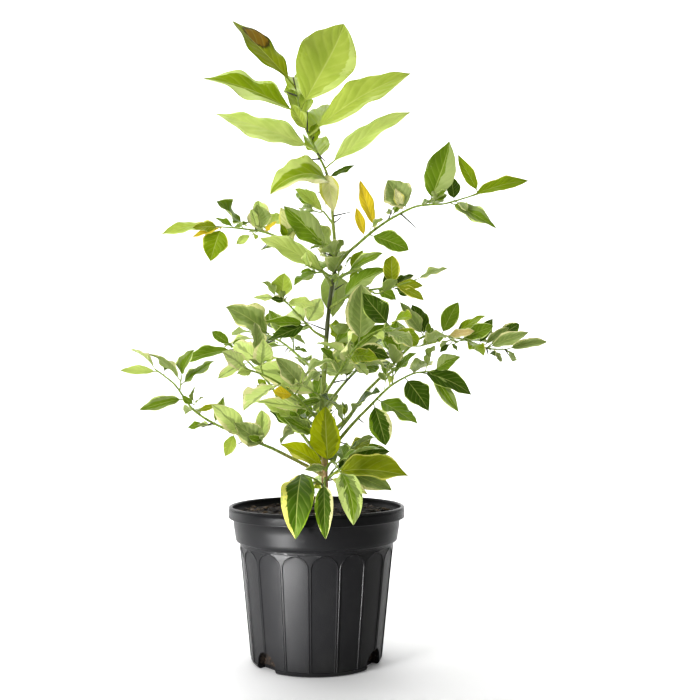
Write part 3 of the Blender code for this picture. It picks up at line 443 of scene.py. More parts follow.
# What this scene adds
STALK_VISIBLE = 0.0009  # a leaf stalk's radius, on a leaf 70 mm long
SKIN = 0.00012  # half the thickness of a leaf, before its share of the length
MIDRIB = 0.0005
SPRIG_SEED = 1000
SPRIG_SPACING = 0.050  # between the finest twigs along a stem
SPRIG_RADIUS = 0.0006
SPRIG_TRIES = 4
SPRIG_CLEARANCE = 0.004
BLADE_MAP = "blade"
BAKE_MAP = "OFBake"
MAP_REACH = 0.46  # from a leaf's midrib to its edge in its own map, where each leaf has the next whole number
SHEET_PAD = 0.04  # of a leaf's sheet in the bake map, left free round it


class Grove(Enum):
    """How the liveries are dealt out over a mass: each one's weight."""

    LIME = ((Look.LIME, 4), (Look.LIME_SOFT, 3), (Look.FRESH, 1))
    GREY = ((Look.SAGE, 4), (Look.HALF_SHADED_GREY, 4), (Look.GREY, 3), (Look.LEAF, 3), (Look.SPLIT, 2), (Look.PALE, 2))
    PALE = ((Look.PALE, 4), (Look.LIME_SOFT, 4), (Look.SAGE, 3), (Look.LEAF, 4), (Look.FRESH, 2), (Look.CREAM, 1))
    GREEN = ((Look.LEAF, 5), (Look.FRESH, 3), (Look.DEEP, 3), (Look.OLIVE, 2), (Look.SPLIT, 3), (Look.SAGE, 3))


@dataclass(frozen=True)
class SetLeaf:
    """A listed leaf: its share along the stem, where its tip lies in degrees round and up, and its size."""

    at: float
    heading: float
    rise: float
    length: float
    width: float
    show: float  # 0 turns its upper face to the sky, 1 to the front
    bend: float
    look: Look


@dataclass(frozen=True)
class Branch:
    """A bough with the foliage at its end, on one route that starts on the trunk's axis."""

    route: tuple[tuple[float, float, float], ...]
    bare: float  # the length of bough before its foliage, 0 where a shoot leafs from the trunk on
    radius: float
    leaf: float
    twig: float
    seed: int
    grove: Grove
    internode: float  # between the leaves and twigs that grow by the rule
    set_leaves: tuple[SetLeaf, ...] = ()


TRUNK_ROUTE = (
    (0.012, 0.000, SOIL_TOP + GAP),
    (0.012, 0.000, 0.222),
    (0.010, 0.001, 0.294),
    (0.007, 0.002, 0.343),
    (0.013, 0.003, 0.451),
    (0.018, 0.003, 0.509),
    (0.026, 0.003, 0.565),
    (0.023, 0.003, 0.619),
    (0.017, 0.002, 0.685),
    (0.001, 0.001, 0.722),
    (-0.021, 0.000, 0.771),
    (-0.036, -0.001, 0.838),
)
TRUNK_RADIUS = 0.0048
LEADER_TIP_RADIUS = 0.0011
TOP_LEAVES = (
    SetLeaf(0.91, 180, 47, 0.138, 0.046, 0.6, 15, Look.SCORCHED),
    SetLeaf(0.71, 0, 64, 0.146, 0.084, 1.0, 12, Look.LIME),
    SetLeaf(0.49, 350, 29, 0.176, 0.050, 0.8, 35, Look.LIME),
    SetLeaf(0.67, 189, 18, 0.154, 0.046, 0.8, 30, Look.HALF_SHADED_LIME),
    SetLeaf(0.35, 186, 19, 0.160, 0.050, 0.8, 30, Look.LIME_SOFT),
    SetLeaf(0.19, 353, 32, 0.150, 0.032, 0.8, 20, Look.LIME_SOFT),
    SetLeaf(0.03, 200, -12, 0.118, 0.060, 0.7, 135, Look.HALF_CREAM),
    SetLeaf(0.18, 312, -74, 0.070, 0.030, 1.0, 15, Look.IVORY),
    SetLeaf(0.11, 354, 24, 0.044, 0.012, 0.8, 15, Look.DEEP),
    SetLeaf(0.40, 75, 68, 0.042, 0.020, 0.1, 10, Look.FRESH),
    SetLeaf(0.53, 212, 55, 0.046, 0.022, 0.9, 15, Look.LIME),
    SetLeaf(0.80, 80, 40, 0.115, 0.052, 0.1, 25, Look.LIME),
    SetLeaf(0.62, 108, 52, 0.105, 0.044, 0.1, 20, Look.LIME),
    SetLeaf(0.45, 72, 46, 0.110, 0.044, 0.1, 25, Look.LIME),
    SetLeaf(0.26, 104, 36, 0.100, 0.040, 0.1, 25, Look.LIME),
)

BRANCHES = {
    "upper_right": Branch(
        ((0.026, 0.003, 0.556), (0.046, -0.002, 0.580), (0.066, -0.006, 0.597), (0.098, -0.012, 0.621),
         (0.143, -0.018, 0.643), (0.181, -0.020, 0.646), (0.231, -0.022, 0.660)),
        0.050, 0.0026, 0.066, 0.030, 11, Grove.GREY, 0.050,
        (
            SetLeaf(0.06, 227, 66, 0.046, 0.014, 0.9, 10, Look.GOLD),
            SetLeaf(0.16, 213, 69, 0.074, 0.020, 0.9, 25, Look.GOLD),
            SetLeaf(0.41, 223, 64, 0.036, 0.016, 0.8, 15, Look.IVORY),
            SetLeaf(0.45, 189, 55, 0.052, 0.046, 1.0, 15, Look.SAGE),
            SetLeaf(0.62, 341, 72, 0.096, 0.044, 1.0, 12, Look.HALF_SHADED_GREY),
            SetLeaf(0.81, 106, 78, 0.038, 0.022, 1.0, 10, Look.DEEP),
            SetLeaf(1.00, 198, 60, 0.064, 0.018, 0.9, 30, Look.FRESH),
            SetLeaf(0.93, 6, 16, 0.092, 0.022, 0.8, 30, Look.FRESH),
            SetLeaf(0.77, 339, -32, 0.082, 0.026, 0.9, 25, Look.GREY),
        ),
    ),
    "upper_left": Branch(
        ((0.021, 0.003, 0.530), (0.004, 0.008, 0.557), (-0.028, 0.014, 0.584), (-0.060, 0.020, 0.606),
         (-0.083, 0.022, 0.614), (-0.115, 0.024, 0.619), (-0.150, 0.025, 0.622)),
        0.072, 0.0027, 0.066, 0.028, 23, Grove.PALE, 0.050,
        (
            SetLeaf(0.08, 212, 68, 0.062, 0.022, 0.9, 15, Look.IVORY),
            SetLeaf(0.50, 235, 75, 0.040, 0.036, 1.0, 15, Look.SAGE),
            SetLeaf(0.55, 243, 60, 0.034, 0.014, 1.0, 10, Look.PALE),
            SetLeaf(0.47, 330, 30, 0.028, 0.012, 0.8, 15, Look.GOLD),
            SetLeaf(0.80, 175, 28, 0.034, 0.012, 0.7, 15, Look.LEAF),
            SetLeaf(0.82, 335, 12, 0.030, 0.010, 0.7, 20, Look.LEAF),
            SetLeaf(0.95, 215, -72, 0.056, 0.038, 0.9, 15, Look.FRESH),
            SetLeaf(0.93, 200, -22, 0.050, 0.012, 0.8, 15, Look.GOLD),
            SetLeaf(0.97, 200, -6, 0.040, 0.020, 0.8, 20, Look.OLIVE),
            SetLeaf(1.00, 178, -8, 0.086, 0.024, 0.7, 30, Look.LIME),
        ),
    ),
    "mid_left": Branch(
        ((0.012, 0.003, 0.455), (-0.004, 0.002, 0.464), (-0.020, 0.000, 0.480), (-0.045, -0.004, 0.506),
         (-0.060, -0.006, 0.513)),
        0.030, 0.0020, 0.056, 0.024, 31, Grove.GREY, 0.032,
        (
            SetLeaf(0.02, 199, -21, 0.066, 0.024, 0.8, 30, Look.DEEP),
            SetLeaf(0.06, 190, 2, 0.062, 0.018, 0.8, 20, Look.LEAF),
            SetLeaf(0.05, 327, 57, 0.044, 0.030, 1.0, 15, Look.PALE),
            SetLeaf(0.75, 336, -11, 0.050, 0.022, 0.8, 25, Look.LIME_SOFT),
            SetLeaf(0.84, 350, 85, 0.040, 0.030, 1.0, 12, Look.LIME),
            SetLeaf(0.98, 180, -1, 0.034, 0.013, 0.8, 15, Look.PALE),
        ),
    ),
    "mid_right": Branch(
        ((0.018, 0.003, 0.498), (0.048, -0.014, 0.515), (0.080, -0.025, 0.522), (0.112, -0.034, 0.526),
         (0.140, -0.040, 0.534)),
        0.020, 0.0023, 0.062, 0.030, 47, Grove.GREEN, 0.034,
        (
            SetLeaf(0.03, 342, 31, 0.084, 0.028, 0.7, 70, Look.HALF_SHADED_GREY),
            SetLeaf(0.08, 325, -4, 0.044, 0.020, 0.8, 20, Look.SAGE),
            SetLeaf(0.50, 340, -30, 0.034, 0.018, 0.9, 15, Look.LEAF),
            SetLeaf(0.55, 8, 41, 0.034, 0.018, 0.9, 15, Look.DEEP),
            SetLeaf(0.67, 13, 27, 0.040, 0.014, 0.8, 20, Look.SPLIT),
            SetLeaf(0.70, 348, -1, 0.044, 0.016, 0.8, 20, Look.OLIVE),
            SetLeaf(0.74, 336, -28, 0.048, 0.015, 0.8, 20, Look.OLIVE),
        ),
    ),
    "lower_right_high": Branch(
        ((0.009, 0.002, 0.308), (0.047, 0.012, 0.343), (0.070, 0.018, 0.376), (0.099, 0.026, 0.405),
         (0.118, 0.030, 0.426), (0.145, 0.032, 0.452), (0.170, 0.034, 0.462), (0.220, 0.036, 0.454),
         (0.252, 0.038, 0.442), (0.280, 0.040, 0.441)),
        0.140, 0.0031, 0.060, 0.036, 53, Grove.GREEN, 0.036,
        (
            SetLeaf(0.13, 215, 84, 0.056, 0.040, 1.0, 15, Look.HALF_SHADED_GREY),
            SetLeaf(0.39, 150, 64, 0.054, 0.028, 0.9, 20, Look.DEEP),
            SetLeaf(0.37, 199, 53, 0.064, 0.026, 0.8, 25, Look.SAGE),
            SetLeaf(0.50, 348, 62, 0.056, 0.026, 0.9, 20, Look.LEAF),
            SetLeaf(0.58, 4, 32, 0.062, 0.018, 0.7, 25, Look.FRESH),
            SetLeaf(0.54, 336, 8, 0.044, 0.018, 0.8, 20, Look.BLUSH),
            SetLeaf(0.66, 342, 22, 0.050, 0.024, 0.9, 25, Look.LEAF),
            SetLeaf(0.79, 348, 62, 0.044, 0.018, 0.9, 20, Look.DEEP),
            SetLeaf(0.82, 14, 34, 0.052, 0.014, 0.7, 20, Look.SAGE),
            SetLeaf(0.86, 348, 21, 0.066, 0.022, 0.8, 40, Look.SAGE),
            SetLeaf(1.00, 0, 10, 0.062, 0.018, 0.8, 20, Look.SAGE),
        ),
    ),
    "lower_right_low": Branch(
        ((0.011, 0.000, 0.282), (0.045, -0.022, 0.325), (0.075, -0.045, 0.357), (0.105, -0.062, 0.386),
         (0.137, -0.075, 0.402), (0.160, -0.082, 0.404)),
        0.112, 0.0029, 0.066, 0.034, 61, Grove.GREY, 0.032,
        (
            SetLeaf(0.03, 323, -70, 0.064, 0.032, 0.9, 45, Look.SPLIT),
            SetLeaf(0.60, 340, -54, 0.058, 0.036, 0.9, 30, Look.DEEP),
            SetLeaf(0.82, 354, -24, 0.078, 0.028, 0.7, 50, Look.DEEP),
            SetLeaf(0.94, 350, -54, 0.070, 0.020, 0.8, 40, Look.GREY),
        ),
    ),
    "lower_left_high": Branch(
        ((0.006, 0.002, 0.280), (-0.024, 0.014, 0.318), (-0.050, 0.025, 0.347), (-0.066, 0.033, 0.382),
         (-0.084, 0.040, 0.402), (-0.104, 0.046, 0.422), (-0.131, 0.052, 0.448)),
        0.110, 0.0027, 0.062, 0.026, 71, Grove.GREEN, 0.050,
        (
            SetLeaf(0.91, 186, -15, 0.098, 0.022, 0.7, 40, Look.LEAF),
            SetLeaf(1.00, 180, 35, 0.036, 0.018, 0.9, 12, Look.LEAF),
            SetLeaf(1.00, 350, 16, 0.022, 0.012, 0.8, 10, Look.LEAF),
            SetLeaf(0.66, 200, -28, 0.054, 0.020, 0.8, 35, Look.PALE),
            SetLeaf(0.70, 347, 23, 0.038, 0.018, 0.7, 30, Look.LEAF),
            SetLeaf(0.23, 342, 5, 0.040, 0.018, 0.7, 45, Look.SAGE),
        ),
    ),
    "lower_left_low": Branch(
        ((0.010, 0.000, 0.258), (-0.026, -0.010, 0.278), (-0.062, -0.020, 0.297), (-0.095, -0.028, 0.311),
         (-0.145, -0.037, 0.334), (-0.174, -0.040, 0.355), (-0.196, -0.042, 0.386), (-0.224, -0.044, 0.408)),
        0.080, 0.0028, 0.062, 0.028, 83, Grove.GREY, 0.050,
        (
            SetLeaf(0.97, 180, 2, 0.054, 0.014, 0.8, 12, Look.LIME_SOFT),
            SetLeaf(0.71, 190, -13, 0.066, 0.020, 0.8, 45, Look.GREY),
            SetLeaf(0.60, 354, 16, 0.036, 0.010, 0.8, 15, Look.OLIVE),
            SetLeaf(0.45, 15, 72, 0.040, 0.014, 0.9, 10, Look.GREY),
            SetLeaf(0.30, 222, -64, 0.036, 0.018, 0.9, 15, Look.LIME),
            SetLeaf(0.22, 204, 43, 0.070, 0.030, 0.9, 40, Look.PALE),
            SetLeaf(0.08, 214, 34, 0.058, 0.034, 0.9, 20, Look.SAGE),
        ),
    ),
    "front_right": Branch(
        ((0.010, 0.002, 0.372), (0.032, -0.040, 0.404), (0.050, -0.076, 0.430), (0.072, -0.112, 0.450),
         (0.100, -0.150, 0.460)),
        0.036, 0.0024, 0.068, 0.034, 97, Grove.PALE, 0.038,
        (
            SetLeaf(0.98, 200, 48, 0.056, 0.032, 0.9, 15, Look.DEEP),
            SetLeaf(0.35, 345, 39, 0.070, 0.024, 0.8, 35, Look.HALF_SHADED_GREY),
            SetLeaf(0.49, 348, -18, 0.050, 0.024, 0.9, 30, Look.SPLIT),
            SetLeaf(0.06, 330, 62, 0.050, 0.040, 1.0, 15, Look.SAGE),
        ),
    ),
    "front_left": Branch(
        ((0.008, 0.002, 0.330), (-0.018, -0.044, 0.360), (-0.040, -0.082, 0.382), (-0.062, -0.118, 0.396),
         (-0.088, -0.152, 0.406)),
        0.030, 0.0024, 0.068, 0.034, 101, Grove.PALE, 0.042,
        (
            SetLeaf(0.08, 198, 8, 0.080, 0.018, 0.8, 20, Look.PALE),
            SetLeaf(0.33, 192, 10, 0.030, 0.020, 1.0, 15, Look.GOLD),
        ),
    ),
    "back_high": Branch(
        ((0.019, 0.003, 0.512), (0.027, 0.042, 0.540), (0.030, 0.078, 0.560), (0.028, 0.112, 0.572),
         (0.022, 0.148, 0.584)),
        0.040, 0.0024, 0.074, 0.036, 113, Grove.GREY, 0.024,
    ),
    "back_right": Branch(
        ((0.008, 0.002, 0.350), (0.040, 0.052, 0.392), (0.068, 0.092, 0.420), (0.096, 0.126, 0.438),
         (0.126, 0.158, 0.448)),
        0.060, 0.0027, 0.074, 0.040, 127, Grove.GREEN, 0.024,
    ),
    "back_left": Branch(
        ((0.010, 0.002, 0.396), (-0.026, 0.046, 0.428), (-0.054, 0.084, 0.452), (-0.080, 0.116, 0.466),
         (-0.108, 0.146, 0.474)),
        0.050, 0.0026, 0.074, 0.038, 131, Grove.GREY, 0.024,
    ),
    "back_low": Branch(
        ((0.011, 0.001, 0.272), (0.004, 0.052, 0.302), (-0.006, 0.096, 0.322), (-0.018, 0.136, 0.334),
         (-0.034, 0.172, 0.340)),
        0.060, 0.0027, 0.074, 0.038, 139, Grove.GREEN, 0.024,
    ),
    "collar_front": Branch(
        ((0.012, 0.000, 0.264), (0.020, -0.028, 0.278), (0.028, -0.054, 0.278), (0.034, -0.076, 0.268)),
        0.0, 0.0021, 0.066, 0.0, 149, Grove.GREEN, 0.030,
        (
            SetLeaf(1.00, 288, -48, 0.096, 0.032, 0.5, 95, Look.DAPPLED),
            SetLeaf(0.20, 258, 80, 0.086, 0.044, 1.0, 12, Look.SUNLIT),
            SetLeaf(0.04, 198, 29, 0.080, 0.028, 0.8, 50, Look.CHARTREUSE),
            SetLeaf(0.14, 206, -4, 0.036, 0.014, 0.8, 30, Look.SAGE),
        ),
    ),
    "collar_low": Branch(
        ((0.012, 0.000, 0.234), (0.013, -0.052, 0.258), (0.013, -0.108, 0.256)),
        0.0, 0.0018, 0.060, 0.0, 157, Grove.GREEN, 0.060,
        (SetLeaf(1.00, 275, -58, 0.084, 0.024, 0.5, 70, Look.SPLIT),),
    ),
    "collar_right": Branch(
        ((0.012, 0.000, 0.250), (0.034, -0.010, 0.268), (0.056, -0.020, 0.278)),
        0.0, 0.0020, 0.066, 0.024, 151, Grove.GREEN, 0.032,
        (
            SetLeaf(0.30, 340, 0, 0.116, 0.046, 0.7, 60, Look.OLIVE),
            SetLeaf(0.12, 324, -16, 0.072, 0.018, 0.8, 30, Look.CREAM),
            SetLeaf(0.50, 344, -20, 0.082, 0.030, 0.8, 25, Look.SAGE),
        ),
    ),
    "collar_left": Branch(
        ((0.012, 0.000, 0.240), (-0.004, -0.030, 0.256), (-0.018, -0.062, 0.264)),
        0.0, 0.0019, 0.060, 0.0, 163, Grove.GREY, 0.040,
        (SetLeaf(1.00, 267, -46, 0.122, 0.044, 0.5, 100, Look.SPLASHED),),
    ),
    "collar_back": Branch(
        ((0.012, 0.000, 0.246), (0.022, 0.026, 0.262), (0.036, 0.052, 0.272)),
        0.0, 0.0020, 0.072, 0.024, 167, Grove.GREY, 0.024,
    ),
    "heart_right": Branch(
        ((0.010, 0.001, 0.300), (0.032, -0.018, 0.322), (0.050, -0.030, 0.344)),
        0.0, 0.0019, 0.068, 0.024, 197, Grove.GREEN, 0.026,
    ),
    "heart_left": Branch(
        ((0.008, 0.002, 0.306), (-0.014, -0.012, 0.326), (-0.034, -0.020, 0.340)),
        0.0, 0.0019, 0.066, 0.024, 199, Grove.PALE, 0.026,
        (SetLeaf(0.26, 200, 28, 0.054, 0.024, 0.8, 20, Look.GREY),),
    ),
    "spur_left_mid": Branch(
        ((0.010, 0.002, 0.364), (0.001, -0.014, 0.374), (-0.006, -0.026, 0.378)),
        0.0, 0.0015, 0.058, 0.0, 193, Grove.PALE, 0.040,
        (
            SetLeaf(0.40, 196, 22, 0.112, 0.042, 0.8, 60, Look.PALE),
            SetLeaf(0.10, 204, -12, 0.040, 0.014, 0.8, 30, Look.GREY),
        ),
    ),
    "spur_left": Branch(
        ((0.026, 0.003, 0.572), (0.010, -0.008, 0.588), (-0.006, -0.014, 0.598)),
        0.0, 0.0015, 0.060, 0.020, 173, Grove.GREY, 0.040,
        (SetLeaf(0.29, 188, 44, 0.094, 0.040, 0.8, 20, Look.HALF_SHADED_GREY),),
    ),
    "spur_left_low": Branch(
        ((0.024, 0.003, 0.544), (0.008, -0.010, 0.548), (-0.008, -0.020, 0.556)),
        0.0, 0.0014, 0.060, 0.018, 179, Grove.GREY, 0.040,
        (
            SetLeaf(0.20, 193, 26, 0.114, 0.036, 0.8, 25, Look.LIME_SOFT),
            SetLeaf(0.45, 163, 45, 0.056, 0.018, 0.8, 20, Look.LEAF),
        ),
    ),
    "spur_right": Branch(
        ((0.022, 0.003, 0.536), (0.038, -0.008, 0.546), (0.054, -0.016, 0.552)),
        0.0, 0.0015, 0.058, 0.020, 181, Grove.GREEN, 0.036,
        (
            SetLeaf(0.70, 330, 22, 0.064, 0.020, 0.7, 30, Look.GREY),
            SetLeaf(0.85, 10, 60, 0.036, 0.018, 0.9, 15, Look.FRESH),
        ),
    ),
    "spur_back": Branch(
        ((0.022, 0.003, 0.622), (0.008, 0.014, 0.642), (-0.008, 0.024, 0.652)),
        0.0, 0.0014, 0.058, 0.020, 191, Grove.GREY, 0.030,
        (SetLeaf(0.46, 195, 37, 0.058, 0.020, 0.8, 30, Look.LIME_SOFT),),
    ),
    "spur_right_low": Branch(
        ((0.016, 0.003, 0.438), (0.030, -0.008, 0.448), (0.042, -0.014, 0.452)),
        0.0, 0.0015, 0.058, 0.020, 211, Grove.GREEN, 0.030,
        (
            SetLeaf(0.15, 342, 16, 0.092, 0.026, 0.7, 75, Look.HALF_SHADED_GREY),
            SetLeaf(0.90, 12, 40, 0.040, 0.018, 0.9, 15, Look.SAGE),
        ),
    ),
}




@dataclass
class Line:
    """A smooth tapering path: its places, its radii and the length run at each place."""

    places: list[Vector]
    radii: list[float]
    runs: list[float] = field(default_factory=list)

    def __post_init__(self) -> None:
        """Adds up the lengths."""
        self.runs = [0.0]
        for before, after in zip(self.places, self.places[1:]):
            self.runs.append(self.runs[-1] + (after - before).length)

    @property
    def length(self) -> float:
        """The whole path's length."""
        return self.runs[-1]

    def at(self, run: float) -> tuple[Vector, float, Vector]:
        """The place, radius and direction after this length of the path."""
        run = min(max(run, 0.0), self.length)
        k = next(i for i in range(1, len(self.runs)) if self.runs[i] >= run - 1e-9)
        share = (run - self.runs[k - 1]) / (self.runs[k] - self.runs[k - 1])
        place = self.places[k - 1].lerp(self.places[k], share)
        radius = self.radii[k - 1] + (self.radii[k] - self.radii[k - 1]) * share
        return place, radius, (self.places[k] - self.places[k - 1]).normalized()

    def part(self, start: float, end: float) -> Line:
        """The stretch of the path between two lengths."""
        inner = [k for k, run in enumerate(self.runs) if start + 1e-3 < run < end - 1e-3]
        ends = self.at(start), self.at(end)
        return Line(
            [ends[0][0], *(self.places[k] for k in inner), ends[1][0]],
            [ends[0][1], *(self.radii[k] for k in inner), ends[1][1]],
        )

    def samples(self, step: float) -> tuple[np.ndarray, np.ndarray]:
        """Places and radii about every step along the path."""
        count = max(2, round(self.length / step) + 1)
        found = [self.at(self.length * k / (count - 1)) for k in range(count)]
        return np.array([place for place, _, _ in found]), np.array([radius for _, radius, _ in found])

    def finer(self, step: float) -> Line:
        """The same path through a Catmull-Rom curve with a place about every step."""
        route = [2 * self.places[0] - self.places[1], *self.places, 2 * self.places[-1] - self.places[-2]]
        places, radii = [self.places[0]], [self.radii[0]]
        for k, (a, b, c, d) in enumerate(zip(route, route[1:], route[2:], route[3:])):
            steps = max(1, round((c - b).length / step))
            for i in range(1, steps + 1):
                places.append(between(a, b, c, d, i / steps))
                radii.append(self.radii[k] + (self.radii[k + 1] - self.radii[k]) * i / steps)
        return Line(places, radii)


def between(a: Vector, b: Vector, c: Vector, d: Vector, t: float) -> Vector:
    """A place on the Catmull-Rom curve from b to c, whose neighbours are a and d."""
    return 0.5 * (2 * b + (c - a) * t + (2 * a - 5 * b + 4 * c - d) * t**2 + (3 * b - a - 3 * c + d) * t**3)


def smooth_line(route: Any, first_radius: float, last_radius: float) -> Line:
    """A Catmull-Rom curve through the route, with an even taper."""
    points = [Vector(place) for place in route]
    points = [2 * points[0] - points[1], *points, 2 * points[-1] - points[-2]]
    places = [points[1]]
    for a, b, c, d in zip(points, points[1:], points[2:], points[3:]):
        steps = max(1, round((c - b).length / ROUTE_STEP))
        places += [between(a, b, c, d, k / steps) for k in range(1, steps + 1)]
    line = Line(places, [first_radius] * len(places))
    line.radii = [first_radius + (last_radius - first_radius) * run / line.length for run in line.runs]
    return line


def trunk_line() -> Line:
    """The whole leader from the soil to its tip, flared at the root."""
    line = smooth_line(TRUNK_ROUTE, TRUNK_RADIUS, LEADER_TIP_RADIUS)
    for k, place in enumerate(line.places):
        above = (place.z - SOIL_TOP) / FLARE_HEIGHT
        line.radii[k] += (FLARE_RADIUS - TRUNK_RADIUS) * max(0.0, 1 - above) ** 2
    return line


def branch_line(branch: Branch) -> Line:
    """The whole route of a bough and its shoot, with a collar at the trunk."""
    line = smooth_line(branch.route, branch.radius, SHOOT_TIP_RADIUS + 0.0002)
    for k, run in enumerate(line.runs):
        line.radii[k] *= 1 + COLLAR_SHARE * max(0.0, 1 - run / COLLAR_LENGTH)
    return line


@dataclass(frozen=True)
class Blade:
    """One leaf: where it leaves its twig, the way it sets off, where its upper face looks, and its size."""

    foot: Vector
    along: Vector
    face: Vector
    length: float
    width: float
    bend: float
    look: Look | None = None

    @staticmethod
    def aimed(
        foot: Vector, along: Vector, look: Vector, length: float, width: float, bend: float, livery: Look | None
    ) -> Blade:
        """A blade with its tip in one direction, whose upper face looks as near to another as it can.

        Args:
            foot: Where it leaves its twig.
            along: The direction of its tip from there.
            look: Where its upper face should look.
            length: Its length in metres.
            width: Its width in metres.
            bend: The angle that it bends through.
            livery: How it is variegated, or None where that is left to chance.

        Returns:
            The blade.
        """
        chord = along.normalized()
        up = look - chord * look.dot(chord)
        up = (up if up.length > 0.05 else chord.orthogonal()).normalized()
        start = chord * math.cos(bend / 2) + up * math.sin(bend / 2)
        face = up * math.cos(bend / 2) - chord * math.sin(bend / 2)
        return Blade(foot, start, face, length, width, bend, livery)

    def half_width(self, share: float) -> float:
        """Half the blade's width at a share of its length."""
        blade_share = (share - STALK_SHARE) / (1 - STALK_SHARE)
        if blade_share <= 0 or blade_share >= 1:
            return 0.0
        return self.width / 2 * math.sin(math.pi * blade_share**0.85) ** 0.8

    def point(self, share: float, side: float) -> Vector:
        """The place at a share of the length and of the half width."""
        turn = self.bend * share
        run = self.length * math.sin(turn) / self.bend
        drop = self.length * (1 - math.cos(turn)) / self.bend
        normal = self.face * math.cos(turn) + self.along * math.sin(turn)
        half = self.half_width(share)
        across = self.along.cross(self.face) * side * half
        return self.foot + self.along * run - self.face * drop + across + normal * FOLD * abs(side) * half

    def samples(self) -> np.ndarray:
        """Places all over the blade, close enough together to tell what it would touch."""
        rows = max(3, round(self.length / SAMPLE_STEP))
        columns = 2 * max(1, round(self.width / 2 / SAMPLE_STEP)) + 1
        shares = [STALK_SHARE + (1 - STALK_SHARE) * (k + 1) / rows for k in range(rows)]
        sides = [2 * k / (columns - 1) - 1 for k in range(columns)]
        return np.array([self.point(share, side) for share in shares for side in sides])


class Space:
    """The room that is taken, as points with a radius and an owner."""

    def __init__(self) -> None:
        """Starts with no point."""
        self.points = np.empty((0, 3))
        self.radii = np.empty(0)
        self.owners = np.empty(0, dtype=int)
        self.wood = np.empty(0, dtype=bool)

    def take(self, points: np.ndarray, radii: Any, owner: int, wood: bool) -> None:
        """Adds points that belong to an owner, which are wood or leaf."""
        self.points = np.vstack([self.points, points])
        self.radii = np.append(self.radii, np.broadcast_to(radii, len(points)))
        self.owners = np.append(self.owners, np.full(len(points), owner))
        self.wood = np.append(self.wood, np.full(len(points), wood))

    def is_free(self, points: np.ndarray, clearance: float, owner: int, root: Vector, reach: float) -> bool:
        """Whether points stay off everything, but for the owner's own growth within reach of the root.

        Args:
            points: The places to test.
            clearance: How far they stay from leaves.
            owner: Whose they are.
            root: Where they grow from.
            reach: How far from the root the owner's own growth may be near.

        Returns:
            Whether the room is free.
        """
        low, high = points.min(axis=0) - 0.02, points.max(axis=0) + 0.02
        near = ((self.points > low) & (self.points < high)).all(axis=1)
        near &= (self.owners != owner) | (np.linalg.norm(self.points - np.array(root), axis=1) > reach)
        if not near.any():
            return True
        apart = np.linalg.norm(points[:, None, :] - self.points[near][None, :, :], axis=2)
        needed = np.where(self.wood[near], LIMB_CLEARANCE + self.radii[near], clearance)
        return bool((apart > needed).all())


def clears_pot(points: np.ndarray) -> bool:
    """Whether the points stay above the pot or outside its rim."""
    spread = np.linalg.norm(points[:, :2], axis=1)
    return bool(((points[:, 2] > POT_HEIGHT + 0.005) | (spread > RIM_RADIUS + 0.004)).all())


